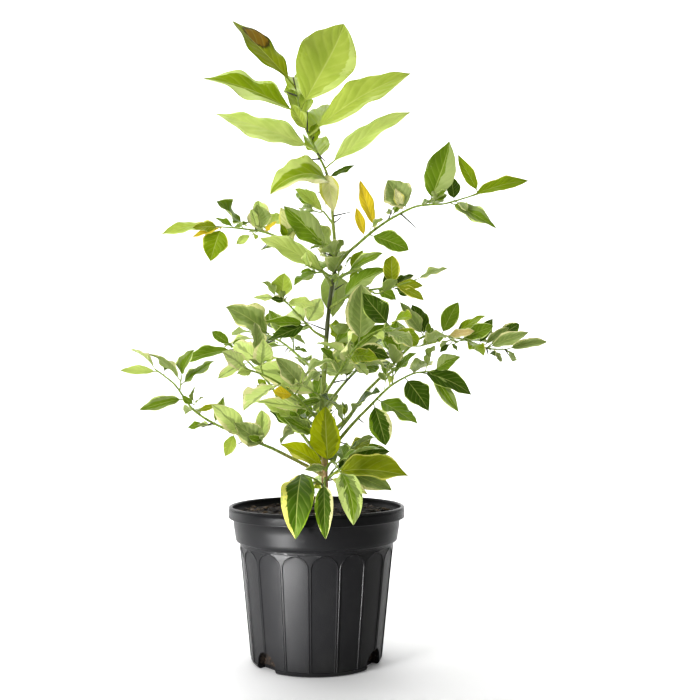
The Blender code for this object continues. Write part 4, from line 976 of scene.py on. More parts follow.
@dataclass
class Foliage:
    """One mass of leaves: its stem, its side twigs and its blades."""

    owner: int
    stem: Line
    branch: Branch
    twigs: list[Line] = field(default_factory=list)
    blades: list[Blade] = field(default_factory=list)
    sprigs: list[Line] = field(default_factory=list)

    def add_blade(
        self, space: Space, blade: Blade, reach: float = ROOT_REACH, clearance: float = LEAF_CLEARANCE
    ) -> bool:
        """Keeps a blade if its place is free, and says whether it was."""
        points = blade.samples()
        free = clears_pot(points) and space.is_free(points, clearance, self.owner, blade.foot, reach)
        if free:
            space.take(points, 0.0, self.owner, False)
            self.blades.append(blade)
        return free

    def add_set_leaves(self, space: Space) -> None:
        """Adds the listed leaves."""
        for leaf in self.branch.set_leaves:
            foot, _, _ = self.stem.at(leaf.at * self.stem.length)
            heading, rise = math.radians(leaf.heading), math.radians(leaf.rise)
            level = math.cos(rise)
            along = Vector((math.cos(heading) * level, math.sin(heading) * level, math.sin(rise)))
            look = UP.lerp(FRONT, leaf.show)
            bend = math.radians(leaf.bend)
            blade = Blade.aimed(foot, along, look, leaf.length, leaf.width, bend, leaf.look)
            self.add_blade(space, blade, leaf.length)

    def try_leaf(self, space: Space, rng: random.Random, foot: Vector, along: Vector, size: float) -> None:
        """Adds a leaf near this direction and size, turned and shrunk until it is clear of everything."""
        for attempt in range(TRIES):
            stray = 0.25 + 0.12 * attempt
            way = along + Vector([rng.uniform(-stray, stray) for _ in range(3)])
            look = UP.lerp(FRONT, rng.uniform(0.0, 0.9)) + Vector([rng.uniform(-0.35, 0.35) for _ in range(3)])
            length = size * rng.uniform(0.8, 1.2) * SHRINK**attempt
            width = length * rng.uniform(0.42, 0.58)
            bend = math.radians(rng.uniform(10, 60))
            if self.add_blade(space, Blade.aimed(foot, way, look, length, width, bend, None)):
                return

    def try_twig(self, space: Space, rng: random.Random, foot: Vector, along: Vector, length: float) -> None:
        """Adds a side twig with leaves by turns on either side, where there is room for it."""
        middle = foot + along * length * 0.5
        end = middle + (along + UP * 0.3).normalized() * length * 0.5
        line = smooth_line((foot, middle, end), TWIG_RADIUS, SHOOT_TIP_RADIUS)
        places, radii = line.samples(SAMPLE_STEP / 2)
        if not clears_pot(places) or not space.is_free(places, LEAF_CLEARANCE, self.owner, foot, ROOT_REACH):
            return
        space.take(places, radii, self.owner, True)
        self.twigs.append(line)
        across = along.cross(UP).normalized()
        count = max(1, round(length / TWIG_INTERNODE))
        for k in range(count):
            place, _, way = line.at(line.length * (0.45 + 0.5 * k / count))
            side = across if k % 2 else -across
            self.try_leaf(space, rng, place, way * 0.6 + side * 0.8 + UP * 0.1, self.branch.leaf * 0.85)
        place, _, way = line.at(line.length)
        self.try_leaf(space, rng, place, way, self.branch.leaf * 0.9)

    def grow(self, space: Space) -> None:
        """Grows leaves and side twigs by turns round the stem, a golden angle apart, and a leaf at its tip."""
        rng = random.Random(self.branch.seed)
        count = max(2, round(self.stem.length / self.branch.internode))
        if self.branch.twig:
            tip, _, ahead = self.stem.at(self.stem.length)
            self.try_leaf(space, rng, tip, ahead, self.branch.leaf * 0.8)
        for k in range(count):
            share = FIRST_NODE + (1 - FIRST_NODE) * k / count
            foot, _, ahead = self.stem.at(share * self.stem.length)
            across = ahead.cross(UP).normalized()
            upward = across.cross(ahead)
            turn = k * GOLDEN_ANGLE + self.branch.seed
            out = across * math.cos(turn) + upward * math.sin(turn)
            if k % 2 == 0:
                self.try_leaf(space, rng, foot, ahead * 0.5 + out * 0.85 + UP * 0.1, self.branch.leaf)
            elif self.branch.twig:
                length = self.branch.twig * rng.uniform(0.8, 1.2) * (1.1 - 0.5 * share)
                self.try_twig(space, rng, foot, (ahead * 0.6 + out * 0.8 + UP * 0.15).normalized(), length)

    def grow_sprigs(self, space: Space) -> None:
        """Grows the finest twigs, each with a few young leaves, along the stem and the twigs within the same reach."""
        rng = random.Random(self.branch.seed + SPRIG_SEED)
        for line in (self.stem, *self.twigs):
            count = round(line.length / SPRIG_SPACING)
            for k in range(count):
                foot, _, ahead = line.at(line.length * (k + rng.uniform(0.2, 0.8)) / count)
                for _ in range(SPRIG_TRIES):
                    across = ahead.cross(UP).normalized()
                    turn = rng.uniform(0.0, math.tau)
                    out = across * math.cos(turn) + across.cross(ahead) * math.sin(turn)
                    if self.try_sprig(space, rng, foot, (ahead * 0.7 + out + UP * 0.2).normalized()):
                        break

    def try_sprig(self, space: Space, rng: random.Random, foot: Vector, along: Vector) -> bool:
        """Adds one of the finest twigs if there is room for it, and says whether there was.

        Args:
            space: The room that is taken.
            rng: The mass's own run of chances.
            foot: Where it leaves its twig.
            along: The way it sets off.

        Returns:
            Whether it was added.
        """
        length = rng.uniform(0.008, 0.016)
        end = foot + along * length + UP * length * 0.2
        line = smooth_line((foot, foot.lerp(end, 0.5), end), SPRIG_RADIUS * 1.3, SPRIG_RADIUS)
        places, radii = line.samples(SAMPLE_STEP / 4)
        inside = (end - self.stem.at(self.stem.length / 2)[0]).length < 0.5 * (self.branch.leaf + self.stem.length)
        if not inside or not clears_pot(places):
            return False
        if not space.is_free(places[1:], SPRIG_CLEARANCE, self.owner, foot, ROOT_REACH):
            return False
        before = len(self.blades)
        for side in (0.9, -0.9, 0.0):
            way = along + along.cross(UP).normalized() * side + Vector([rng.uniform(-0.3, 0.3) for _ in range(3)])
            look = UP.lerp(FRONT, rng.uniform(0.2, 1.0)) + Vector([rng.uniform(-0.4, 0.4) for _ in range(3)])
            size = self.branch.leaf * rng.uniform(0.28, 0.46)
            root = line.at(line.length * (1.0 if side == 0.0 else 0.7))[0]
            bend = math.radians(rng.uniform(10, 60))
            blade = Blade.aimed(root, way, look, size, size * rng.uniform(0.40, 0.54), bend, None)
            self.add_blade(space, blade, clearance=SPRIG_CLEARANCE)
        if len(self.blades) > before:
            space.take(places, radii, self.owner, True)
            self.sprigs.append(line)
        return len(self.blades) > before


@dataclass
class Tree:
    """The trunk, the boughs and every mass of foliage, laid out in the room that they share."""

    trunk: Line
    boughs: dict[str, Line]
    masses: dict[str, Foliage]

    @staticmethod
    def grown() -> Tree:
        """Grows the tree by the rule of the solids, then carries it on to the finest twigs."""
        space = Space()
        leader = trunk_line()
        trunk_run = next(run for run, place in zip(leader.runs, leader.places) if place.z >= TRUNK_TOP)
        trunk = leader.part(0.0, trunk_run)
        boughs: dict[str, Line] = {}
        top = Branch(TRUNK_ROUTE, trunk_run, TRUNK_RADIUS, 0.085, 0.0, 7, Grove.LIME, 0.085, TOP_LEAVES)
        masses = {"top": Foliage(1, leader.part(trunk_run + GAP, leader.length), top)}
        space.take(*trunk.samples(0.003), 0, True)
        for owner, (name, branch) in enumerate(BRANCHES.items(), start=2):
            line = branch_line(branch)
            if branch.bare:
                boughs[name] = line.part(0.0, branch.bare)
                space.take(*boughs[name].samples(0.003), 0, True)
                line = line.part(branch.bare + GAP, line.length)
            masses[name] = Foliage(owner, line, branch)
        for mass in masses.values():
            space.take(*mass.stem.samples(0.003), mass.owner, True)
        for mass in masses.values():
            mass.add_set_leaves(space)
        for mass in masses.values():
            mass.grow(space)
        for mass in masses.values():
            if mass.branch.twig:
                mass.grow_sprigs(space)
        return Tree(trunk, boughs, masses)


class MeshPile:
    """Small closed forms joined in one mesh, gathered as arrays."""

    def __init__(self, name: str) -> None:
        """Starts an empty pile."""
        self.name = name
        self.points: list[np.ndarray] = []
        self.faces: list[tuple[int, ...]] = []
        self.slots: list[int] = []
        self.materials: list[bpy.types.Material] = []
        self.count = 0

    def slot_of(self, material: bpy.types.Material) -> int:
        """The index of a material among the pile's, which it joins if it is new."""
        if material not in self.materials:
            self.materials.append(material)
        return self.materials.index(material)

    def add(self, rings: np.ndarray, foot: Any, tip: Any, slots: np.ndarray) -> None:
        """Adds a closed form of rings, drawn together at both ends.

        Args:
            rings: The places, by ring, by side and by axis.
            foot: The place that the first ring closes to.
            tip: The place that the last ring closes to.
            slots: The material index of each face, by row and by side, with a row for each end.
        """
        rows, sides = rings.shape[:2]
        first = self.count
        last = first + rows * sides
        self.points.append(np.vstack([rings.reshape(-1, 3), [tuple(foot)], [tuple(tip)]]))
        self.count += rows * sides + 2
        for j in range(sides):
            self.faces.append((last, first + (j + 1) % sides, first + j))
        for i in range(rows - 1):
            near = first + i * sides
            for j in range(sides):
                k = (j + 1) % sides
                self.faces.append((near + j, near + k, near + sides + k, near + sides + j))
        near = last - sides
        for j in range(sides):
            self.faces.append((near + j, near + (j + 1) % sides, last + 1))
        self.slots.extend(slots.ravel().tolist())

    def built(self) -> bpy.types.Object:
        """Makes the pile an object of the scene."""
        mesh = bpy.data.meshes.new(self.name)
        mesh.from_pydata(np.vstack(self.points).tolist(), [], self.faces)
        for material in self.materials:
            mesh.materials.append(material)
        mesh.polygons.foreach_set("material_index", np.array(self.slots, dtype=np.int32))
        mesh.polygons.foreach_set("use_smooth", np.ones(len(self.faces), dtype=bool))
        mesh.update()
        obj = bpy.data.objects.new(self.name, mesh)
        bpy.context.scene.collection.objects.link(obj)
        return obj


class Finishes:
    """The materials of this scene, each built once."""

    def __init__(self) -> None:
        """Starts with none built."""
        self.built: dict[Any, bpy.types.Material] = {}

    def of(self, finish: Any) -> bpy.types.Material:
        """The material of a finish."""
        if finish not in self.built:
            self.built[finish] = finish.material()
        return self.built[finish]


class LeafPile(MeshPile):
    """The leaves of one mass, each a closed blade with an upper and an under face."""

    COLUMNS = np.array((0.0, 0.14, 0.36, 0.60, 0.82, 1.0))  # from the midrib to the edge
    STALK_ROWS = 3

    def __init__(self, name: str, finishes: Finishes, seed: int) -> None:
        """Starts an empty pile with its own run of chances."""
        super().__init__(name)
        self.finishes = finishes
        self.rng = random.Random(seed)
        self.charts: list[np.ndarray] = []
        self.sheets: list[np.ndarray] = []

    def add_blade(self, blade: Blade, look: Look) -> None:
        """Adds one leaf.

        Args:
            blade: Its place, direction and size.
            look: How it is variegated.
        """
        rows = 32 if blade.length > 0.085 else 28 if blade.length > 0.05 else 20
        run = np.linspace(0.0, 1.0, rows + 1)[:-1]
        eased = 0.4 * run + 0.6 * (1 - np.cos(math.pi * run)) / 2
        stalk = np.linspace(0.0, STALK_SHARE, self.STALK_ROWS, endpoint=False)
        shares = np.concatenate([stalk, STALK_SHARE + (1 - STALK_SHARE) * eased])
        top = np.concatenate([-self.COLUMNS[:0:-1], self.COLUMNS])
        sides = np.broadcast_to(np.concatenate([top, top[-2:0:-1]]), (len(shares), 2 * len(top) - 2))
        rings = self.ring_places(blade, shares, sides)
        foot = blade.foot - blade.along * 0.0006
        upper, under = (self.slot_of(self.finishes.of(LeafFinish(look.name, look.value, face))) for face in (True, False))
        slots = np.full((len(shares) + 1, sides.shape[1]), under)
        slots[:, : len(top) - 1] = upper
        self.add(rings, foot, blade.point(1.0, 0.0), slots)
        # A set leaf has its lopsided half on its +X side, and with it the painted lit and shaded halves of the half
        # liveries; other leaves get a side at random.
        facing = math.copysign(1.0, blade.along.cross(blade.face).x)
        self.chart(shares, sides, facing if blade.look else self.rng.choice((-1.0, 1.0)))

    def outline(self, blade: Blade, shares: np.ndarray) -> np.ndarray:
        """Half the blade's width along it: full in the middle, drawn out to a point, with a finely uneven edge."""
        rng = self.rng
        share = np.clip((shares - STALK_SHARE) / (1 - STALK_SHARE), 0.0, 1.0)
        foot, tip = rng.uniform(0.72, 0.94), rng.uniform(0.84, 1.22)
        widest = foot / (foot + tip)
        full = share**foot * (1 - share) ** tip / (widest**foot * (1 - widest) ** tip)
        full *= 1 - rng.uniform(0.0, 0.25) * np.clip((share - 0.80) / 0.20, 0.0, 1.0) ** 2
        beat = rng.uniform(4.0, 7.0)
        crimp = rng.uniform(0.004, 0.016) * np.sin(math.tau * (beat * share + rng.random()))
        return blade.width / 2 * full * (1 + crimp)

    def ring_places(self, blade: Blade, shares: np.ndarray, sides: np.ndarray) -> np.ndarray:
        """The places of a blade's rings: over the upper face from edge to edge, and back underneath."""
        rng = self.rng
        along, face = np.array(blade.along), np.array(blade.face)
        across = np.cross(along, face)
        turn = blade.bend * shares
        middle = np.array(blade.foot) + np.outer(blade.length * np.sin(turn) / blade.bend, along)
        middle -= np.outer(blade.length * (1 - np.cos(turn)) / blade.bend, face)
        middle += np.outer(blade.length * rng.uniform(-0.07, 0.07) * shares**2 * (1 - shares) * 3, across)
        normal = np.outer(np.cos(turn), face) + np.outer(np.sin(turn), along)
        twist = rng.uniform(-0.34, 0.34) * shares[:, None]
        wide = across[None, :] * np.cos(twist) + normal * np.sin(twist)
        normal = normal * np.cos(twist) - across[None, :] * np.sin(twist)
        half = self.outline(blade, shares)
        stalk = STALK_VISIBLE * (blade.length / 0.07) ** 0.5
        reach = np.maximum(half, stalk * (1 - shares))[:, None]
        blend = np.clip((shares - STALK_SHARE) / 0.10, 0.0, 1.0)[:, None]
        skin = stalk * (1 - blend) + (SKIN + blade.length * 0.0015) * blend
        upper = np.where(np.arange(sides.shape[1]) < 2 * len(self.COLUMNS) - 1, 1.0, -1.0)[None, :]
        depth = skin * np.sqrt(np.clip(1 - sides**2, 0.0, 1.0)) * upper
        rib = MIDRIB * np.exp(-((sides * reach / 0.0016) ** 2)) * (1 - shares[:, None]) * blend
        depth = np.where(upper < 0, depth - rib, depth + 0.25 * rib)
        bow = np.sqrt(sides**2 + 0.006) - 0.08
        wave = np.zeros_like(sides)
        for sign in (-1, 1):
            for beat, height in ((rng.uniform(1.3, 2.6), rng.uniform(0.10, 0.36)), (rng.uniform(3.6, 5.6), 0.07)):
                swell = np.sin(math.tau * (beat * shares + rng.random()))[:, None] * height
                wave += np.where(sides * sign > 0, swell * np.abs(sides) ** 1.9, 0.0)
        roll = rng.uniform(-0.04, 0.10) * np.abs(sides) ** 6
        lift = half[:, None] * (rng.uniform(0.8 * FOLD, 3.6 * FOLD) * bow + wave - roll)
        return (
            middle[:, None, :]
            + wide[:, None, :] * (sides * reach)[:, :, None]
            + normal[:, None, :] * (depth + lift)[:, :, None]
        )

    def chart(self, shares: np.ndarray, sides: np.ndarray, turned: float) -> None:
        """Notes the blade's own map and its sheet of the bake map, corner by corner in the faces' order."""
        count = sides.shape[1]
        number = len(self.sheets) + 1
        u, v = number + 0.5 + MAP_REACH * turned * sides, np.broadcast_to(shares[:, None], sides.shape)
        blade = np.stack([u, v], axis=2)
        around = np.arange(count + 1) / count
        sheet = np.stack(np.broadcast_arrays(around[None, :], shares[:, None] * 0.96 + 0.02), axis=2)
        middle = (around[:-1] + around[1:]) / 2
        here = np.arange(count)
        blade_ends = [np.full((count, 2), (number + 0.5, end)) for end in (0.0, 1.0)]
        sheet_ends = [np.stack([middle, np.full(count, end)], axis=1) for end in (0.0, 1.0)]
        for kept, grid, ends, nexts in (
            (self.charts, blade, blade_ends, np.roll(here, -1)),
            (self.sheets, sheet, sheet_ends, here + 1),
        ):
            first = np.stack([ends[0], grid[0, nexts], grid[0, here]], axis=1)
            body = np.stack(
                [grid[:-1][:, here], grid[:-1][:, nexts], grid[1:][:, nexts], grid[1:][:, here]], axis=2
            )
            last = np.stack([grid[-1, here], grid[-1, nexts], ends[1]], axis=1)
            kept.append(np.vstack([first.reshape(-1, 2), body.reshape(-1, 2), last.reshape(-1, 2)]))

    def built(self) -> bpy.types.Object:
        """Makes the pile an object, with a map along each blade and a sheet for each leaf."""
        obj = super().built()
        obj.data.set_sharp_from_angle(angle=math.radians(100))
        blade = obj.data.uv_layers.new(name=BLADE_MAP)
        blade.data.foreach_set("uv", np.vstack(self.charts).astype(np.float32).ravel())
        side = math.ceil(math.sqrt(len(self.sheets)))
        placed = []
        for k, sheet in enumerate(self.sheets):
            corner = np.array((k % side, k // side))
            placed.append((corner + SHEET_PAD + (1 - 2 * SHEET_PAD) * sheet) / side)
        bake = obj.data.uv_layers.new(name=BAKE_MAP)
        bake.data.foreach_set("uv", np.vstack(placed).astype(np.float32).ravel())
        return obj


@dataclass(frozen=True)
class BarkFinish:
    """Bark: tan and fissured low on the trunk, smooth and green with pale streaks higher up, with an optional band of
    painted shade where the green is darkened nearly to black.
    """

    name: str
    old: Colour
    old_shade: Colour
    young: Colour
    young_shade: Colour
    turn_low: float
    turn_high: float
    # painted shade: the heights between which the green bark is darkened nearly to black, and that dark colour
    painted_shade_low: float = 0.9  # the stretch where the green is nearly black
    painted_shade_high: float = 0.9
    painted_shade: Colour = linear(52, 56, 18)

    def material(self) -> bpy.types.Material:
        """Builds the finish on the piece's own coordinates."""
        paint = Paint(self.name)
        place = paint.place()
        stretch = paint.node("ShaderNodeMapping", None, {"Vector": place, "Scale": (1.0, 1.0, 0.16)})
        streaks = paint.noise(Flow(paint, stretch.outputs["Vector"]), 520.0, 5.0, 0.65)
        blotches = paint.noise(place, 60.0, 3.0)
        _, _, height = paint.split(place)
        age = (height + (blotches - 0.5) * 0.09).between(self.turn_low, self.turn_high)
        crust = paint.mix(streaks.between(0.3, 0.72), self.old_shade, self.old)
        green = paint.mix(streaks.between(0.35, 0.7), self.young_shade, self.young)
        colour = paint.mix(age, crust, green)
        # painted shade: the band between the two heights is darkened nearly to black, as if in shade
        painted_shade = height.between(self.painted_shade_low - 0.012, self.painted_shade_low) * (1.0 - height.between(self.painted_shade_high, self.painted_shade_high + 0.02))
        colour = paint.mix(painted_shade * (0.7 + streaks * 0.4), colour, self.painted_shade)
        relief = streaks * (1.25 - age) * 0.6 + paint.noise(place, 1400.0, 2.0) * 0.2
        paint.finish(colour, 0.78 - age * 0.28, relief, 0.0009)
        return paint.material


@dataclass(frozen=True)
class PlainFinish:
    """A quiet ground with a fine mottle, for twigs, thorns and bark bits."""

    name: str
    ground: Colour
    shade: Colour
    roughness: float
    scale: float = 300.0
    depth: float = 0.0004

    def material(self) -> bpy.types.Material:
        """Builds the finish on the piece's own coordinates."""
        paint = Paint(self.name)
        mottle = paint.noise(paint.place(), self.scale, 4.0, 0.6)
        colour = paint.mix(mottle.between(0.32, 0.68), self.shade, self.ground)
        paint.finish(colour, mottle * 0.15 + (self.roughness - 0.07), mottle, self.depth)
        return paint.material


OLD_WOOD = (linear(200, 170, 126), linear(136, 102, 64))
YOUNG_WOOD = (linear(164, 180, 78), linear(100, 118, 30))
# The trunk's band of painted shade runs from 0.458 m to 0.566 m up.
TRUNK_BARK = BarkFinish("bark", *OLD_WOOD, *YOUNG_WOOD, 0.27, 0.33, 0.458, 0.566)
BOUGH_BARK = BarkFinish("bough_bark", *OLD_WOOD, *YOUNG_WOOD, 0.22, 0.31)
TWIG_BARK = PlainFinish("twig_bark", linear(150, 174, 54), linear(98, 122, 24), 0.5)
LEADER_BARK = PlainFinish("leader_bark", linear(84, 84, 30), linear(52, 50, 18), 0.55)
THORN_GREEN = PlainFinish("thorn", linear(62, 70, 26), linear(42, 44, 18), 0.5)
THORN_TIP = PlainFinish("thorn_tip", linear(44, 36, 26), linear(26, 22, 16), 0.5)


def frames_along(places: np.ndarray) -> tuple[np.ndarray, np.ndarray]:
    """Two directions across a path at each place, turned as little as can be on the way."""
    tangents = np.gradient(places, axis=0)
    tangents /= np.linalg.norm(tangents, axis=1)[:, None]
    first = np.cross(tangents[0], (0.0, 1.0, 0.0) if abs(tangents[0][1]) < 0.9 else (1.0, 0.0, 0.0))
    sides = [first / np.linalg.norm(first)]
    for tangent in tangents[1:]:
        side = sides[-1] - tangent * sides[-1].dot(tangent)
        sides.append(side / np.linalg.norm(side))
    side = np.array(sides)
    return side, np.cross(tangents, side)


class WoodPile(MeshPile):
    """Limbs joined in one mesh, each a tapering tube with the relief of its bark."""

    def add_limb(self, line: Line, sides: int, step: float, relief: float, material: Any, bury: float = 0.0) -> None:
        """Adds one limb.

        Args:
            line: Its path and radii.
            sides: How many faces go round it.
            step: The length of a face along it.
            relief: How far its bark stands in and out, as a share of its radius.
            material: Its finish, built.
            bury: How far its foot runs back into what carries it.
        """
        fine = line.finer(step)
        places, radii = np.array(fine.places), np.array(fine.radii)
        if bury:
            back = places[0] - (places[1] - places[0]) / np.linalg.norm(places[1] - places[0]) * bury
            places, radii = np.vstack([back, places]), np.append(radii[0], radii)
        side, other = frames_along(places)
        rings = []
        for place, radius, x, y in zip(places, radii, side, other):
            ring = []
            for k in range(sides):
                angle = math.tau * k / sides
                way = x * math.cos(angle) + y * math.sin(angle)
                spot = Vector(place + way * radius)
                rough = noise.noise(Vector((spot.x * 420, spot.y * 420, spot.z * 90)))
                lump = noise.noise(spot * 70)
                ring.append(place + way * radius * (1 + relief * rough + 0.5 * relief * lump))
            rings.append(ring)
        slot = self.slot_of(material)
        slots = np.full((len(rings) + 1, sides), slot)
        ahead = places[-1] + (places[-1] - places[-2]) * 0.2
        self.add(np.array(rings), places[0], ahead, slots)

    def add_thorn(self, foot: Vector, way: Vector, length: float, radius: float, green: Any, tip: Any) -> None:
        """Adds a straight thorn with a dark tip."""
        side = way.orthogonal().normalized()
        other = way.cross(side)
        shares = (0.0, 0.06, 0.3, 0.6, 0.85)
        widths = (1.5, 1.0, 0.84, 0.64, 0.38)
        rings = np.array(
            [
                [
                    foot + way * (length * share) + (side * math.cos(a) + other * math.sin(a)) * radius * width
                    for a in (math.tau * k / 6 for k in range(6))
                ]
                for share, width in zip(shares, widths)
            ]
        )
        slots = np.full((len(shares) + 1, 6), self.slot_of(green))
        slots[3:] = self.slot_of(tip)
        self.add(rings, foot, foot + way * length, slots)


@dataclass(frozen=True)
class PotFinish:
    """Black moulded plastic: a fine pebbled grain with a satin sheen, and dust in soft patches, most of it low down.
    """

    name: str = "pot_plastic"
    ground: Colour = linear(13, 13, 14)
    dust: Colour = linear(34, 34, 32)
    grain_size: float = 1100.0  # grains to the metre
    grain_depth: float = 0.00022

    def material(self) -> bpy.types.Material:
        """Builds the finish on the pot's own coordinates."""
        paint = Paint(self.name)
        place = paint.place()
        grain = paint.noise(place, self.grain_size, 2.0, 0.6)
        swirl = paint.noise(place, 30.0, 4.0, 0.6)
        scuffs = paint.noise(place, 190.0, 4.0, 0.7).between(0.60, 0.74)
        _, _, height = paint.split(place)
        settled = swirl.between(0.42, 0.78) * (0.25 + (1.0 - height.between(0.0, 0.04)) * 0.5)
        colour = paint.mix(settled * 0.4 + scuffs * 0.12, self.ground, self.dust)
        paint.finish(colour, grain * 0.10 + swirl * 0.06 + 0.26, grain, self.grain_depth)
        paint.shader.inputs["Specular IOR Level"].default_value = 0.1
        return paint.material


@dataclass(frozen=True)
class SoilFinish:
    """Damp potting mix: crumbs of dark peat with brown fibres."""

    name: str = "potting_mix"
    ground: Colour = linear(12, 9, 7)
    crumb: Colour = linear(44, 33, 23)

    def material(self) -> bpy.types.Material:
        """Builds the finish on the soil's own coordinates."""
        paint = Paint(self.name)
        place = paint.place()
        crumbs = paint.cells(place, 380.0)
        fibre = paint.noise(place, 150.0, 6.0, 0.7)
        colour = paint.mix(fibre.between(0.40, 0.68), self.ground, self.crumb)
        paint.finish(colour, 0.95 - fibre * 0.1, fibre * 0.7 + crumbs * 0.5, 0.003)
        paint.shader.inputs["Specular IOR Level"].default_value = 0.2
        return paint.material


BARK_CHIPS = (
    PlainFinish("chip_brown", linear(58, 42, 28), linear(32, 22, 15), 0.9, 260.0, 0.0008),
    PlainFinish("chip_dark", linear(30, 24, 18), linear(16, 12, 9), 0.9, 260.0, 0.0008),
    PlainFinish("chip_pale", linear(84, 66, 46), linear(52, 40, 27), 0.9, 260.0, 0.0008),
)


def object_of(name: str, bm: bmesh.types.BMesh, materials: list[bpy.types.Material]) -> bpy.types.Object:
    """Makes a bmesh an object of the scene, smooth but for its sharp edges."""
    mesh = bpy.data.meshes.new(name)
    bm.to_mesh(mesh)
    bm.free()
    for material in materials:
        mesh.materials.append(material)
    mesh.polygons.foreach_set("use_smooth", np.ones(len(mesh.polygons), dtype=bool))
    mesh.set_sharp_from_angle(angle=math.radians(38))
    obj = bpy.data.objects.new(name, mesh)
    bpy.context.scene.collection.objects.link(obj)
    return obj


def spun(profile: list[tuple[float, float]], steps: int) -> bmesh.types.BMesh:
    """A closed turned form from a profile of radius and height that runs from axis to axis."""
    bm = bmesh.new()
    verts = [bm.verts.new((radius, 0.0, height)) for radius, height in profile]
    edges = [bm.edges.new(pair) for pair in zip(verts, verts[1:])]
    bmesh.ops.spin(
        bm, geom=[*verts, *edges], axis=UP, cent=(0.0, 0.0, 0.0), angle=math.tau, steps=steps, use_merge=True
    )
    bmesh.ops.remove_doubles(bm, verts=bm.verts, dist=1e-6)
    bmesh.ops.recalc_face_normals(bm, faces=bm.faces)
    return bm


def body_radius(height: float) -> float:
    """The outer radius of the pot's tapering body."""
    return BASE_RADIUS + (BODY_RADIUS - BASE_RADIUS) * height / SHOULDER_FOOT


def pot_inside(height: float) -> float:
    """The radius of the pot's inner wall."""
    if height <= SHOULDER_FOOT:
        return body_radius(height) - WALL
    lip_foot = POT_HEIGHT - LIP_HEIGHT
    if height <= lip_foot:
        share = (height - SHOULDER_FOOT) / (lip_foot - SHOULDER_FOOT)
        return BODY_RADIUS + (BAND_TOP_RADIUS - BODY_RADIUS) * share - WALL
    foot = BAND_TOP_RADIUS - WALL
    return foot + (RIM_RADIUS - RIM_WIDTH - foot) * min(1.0, (height - lip_foot) / LIP_SLOPE)


def arc(centre: tuple[float, float], radius: float, start: float, end: float, steps: int) -> list[tuple[float, float]]:
    """Points on an arc, with the angles in degrees from the outward axis."""
    angles = [math.radians(start + (end - start) * k / steps) for k in range(steps + 1)]
    return [(centre[0] + radius * math.cos(a), centre[1] + radius * math.sin(a)) for a in angles]


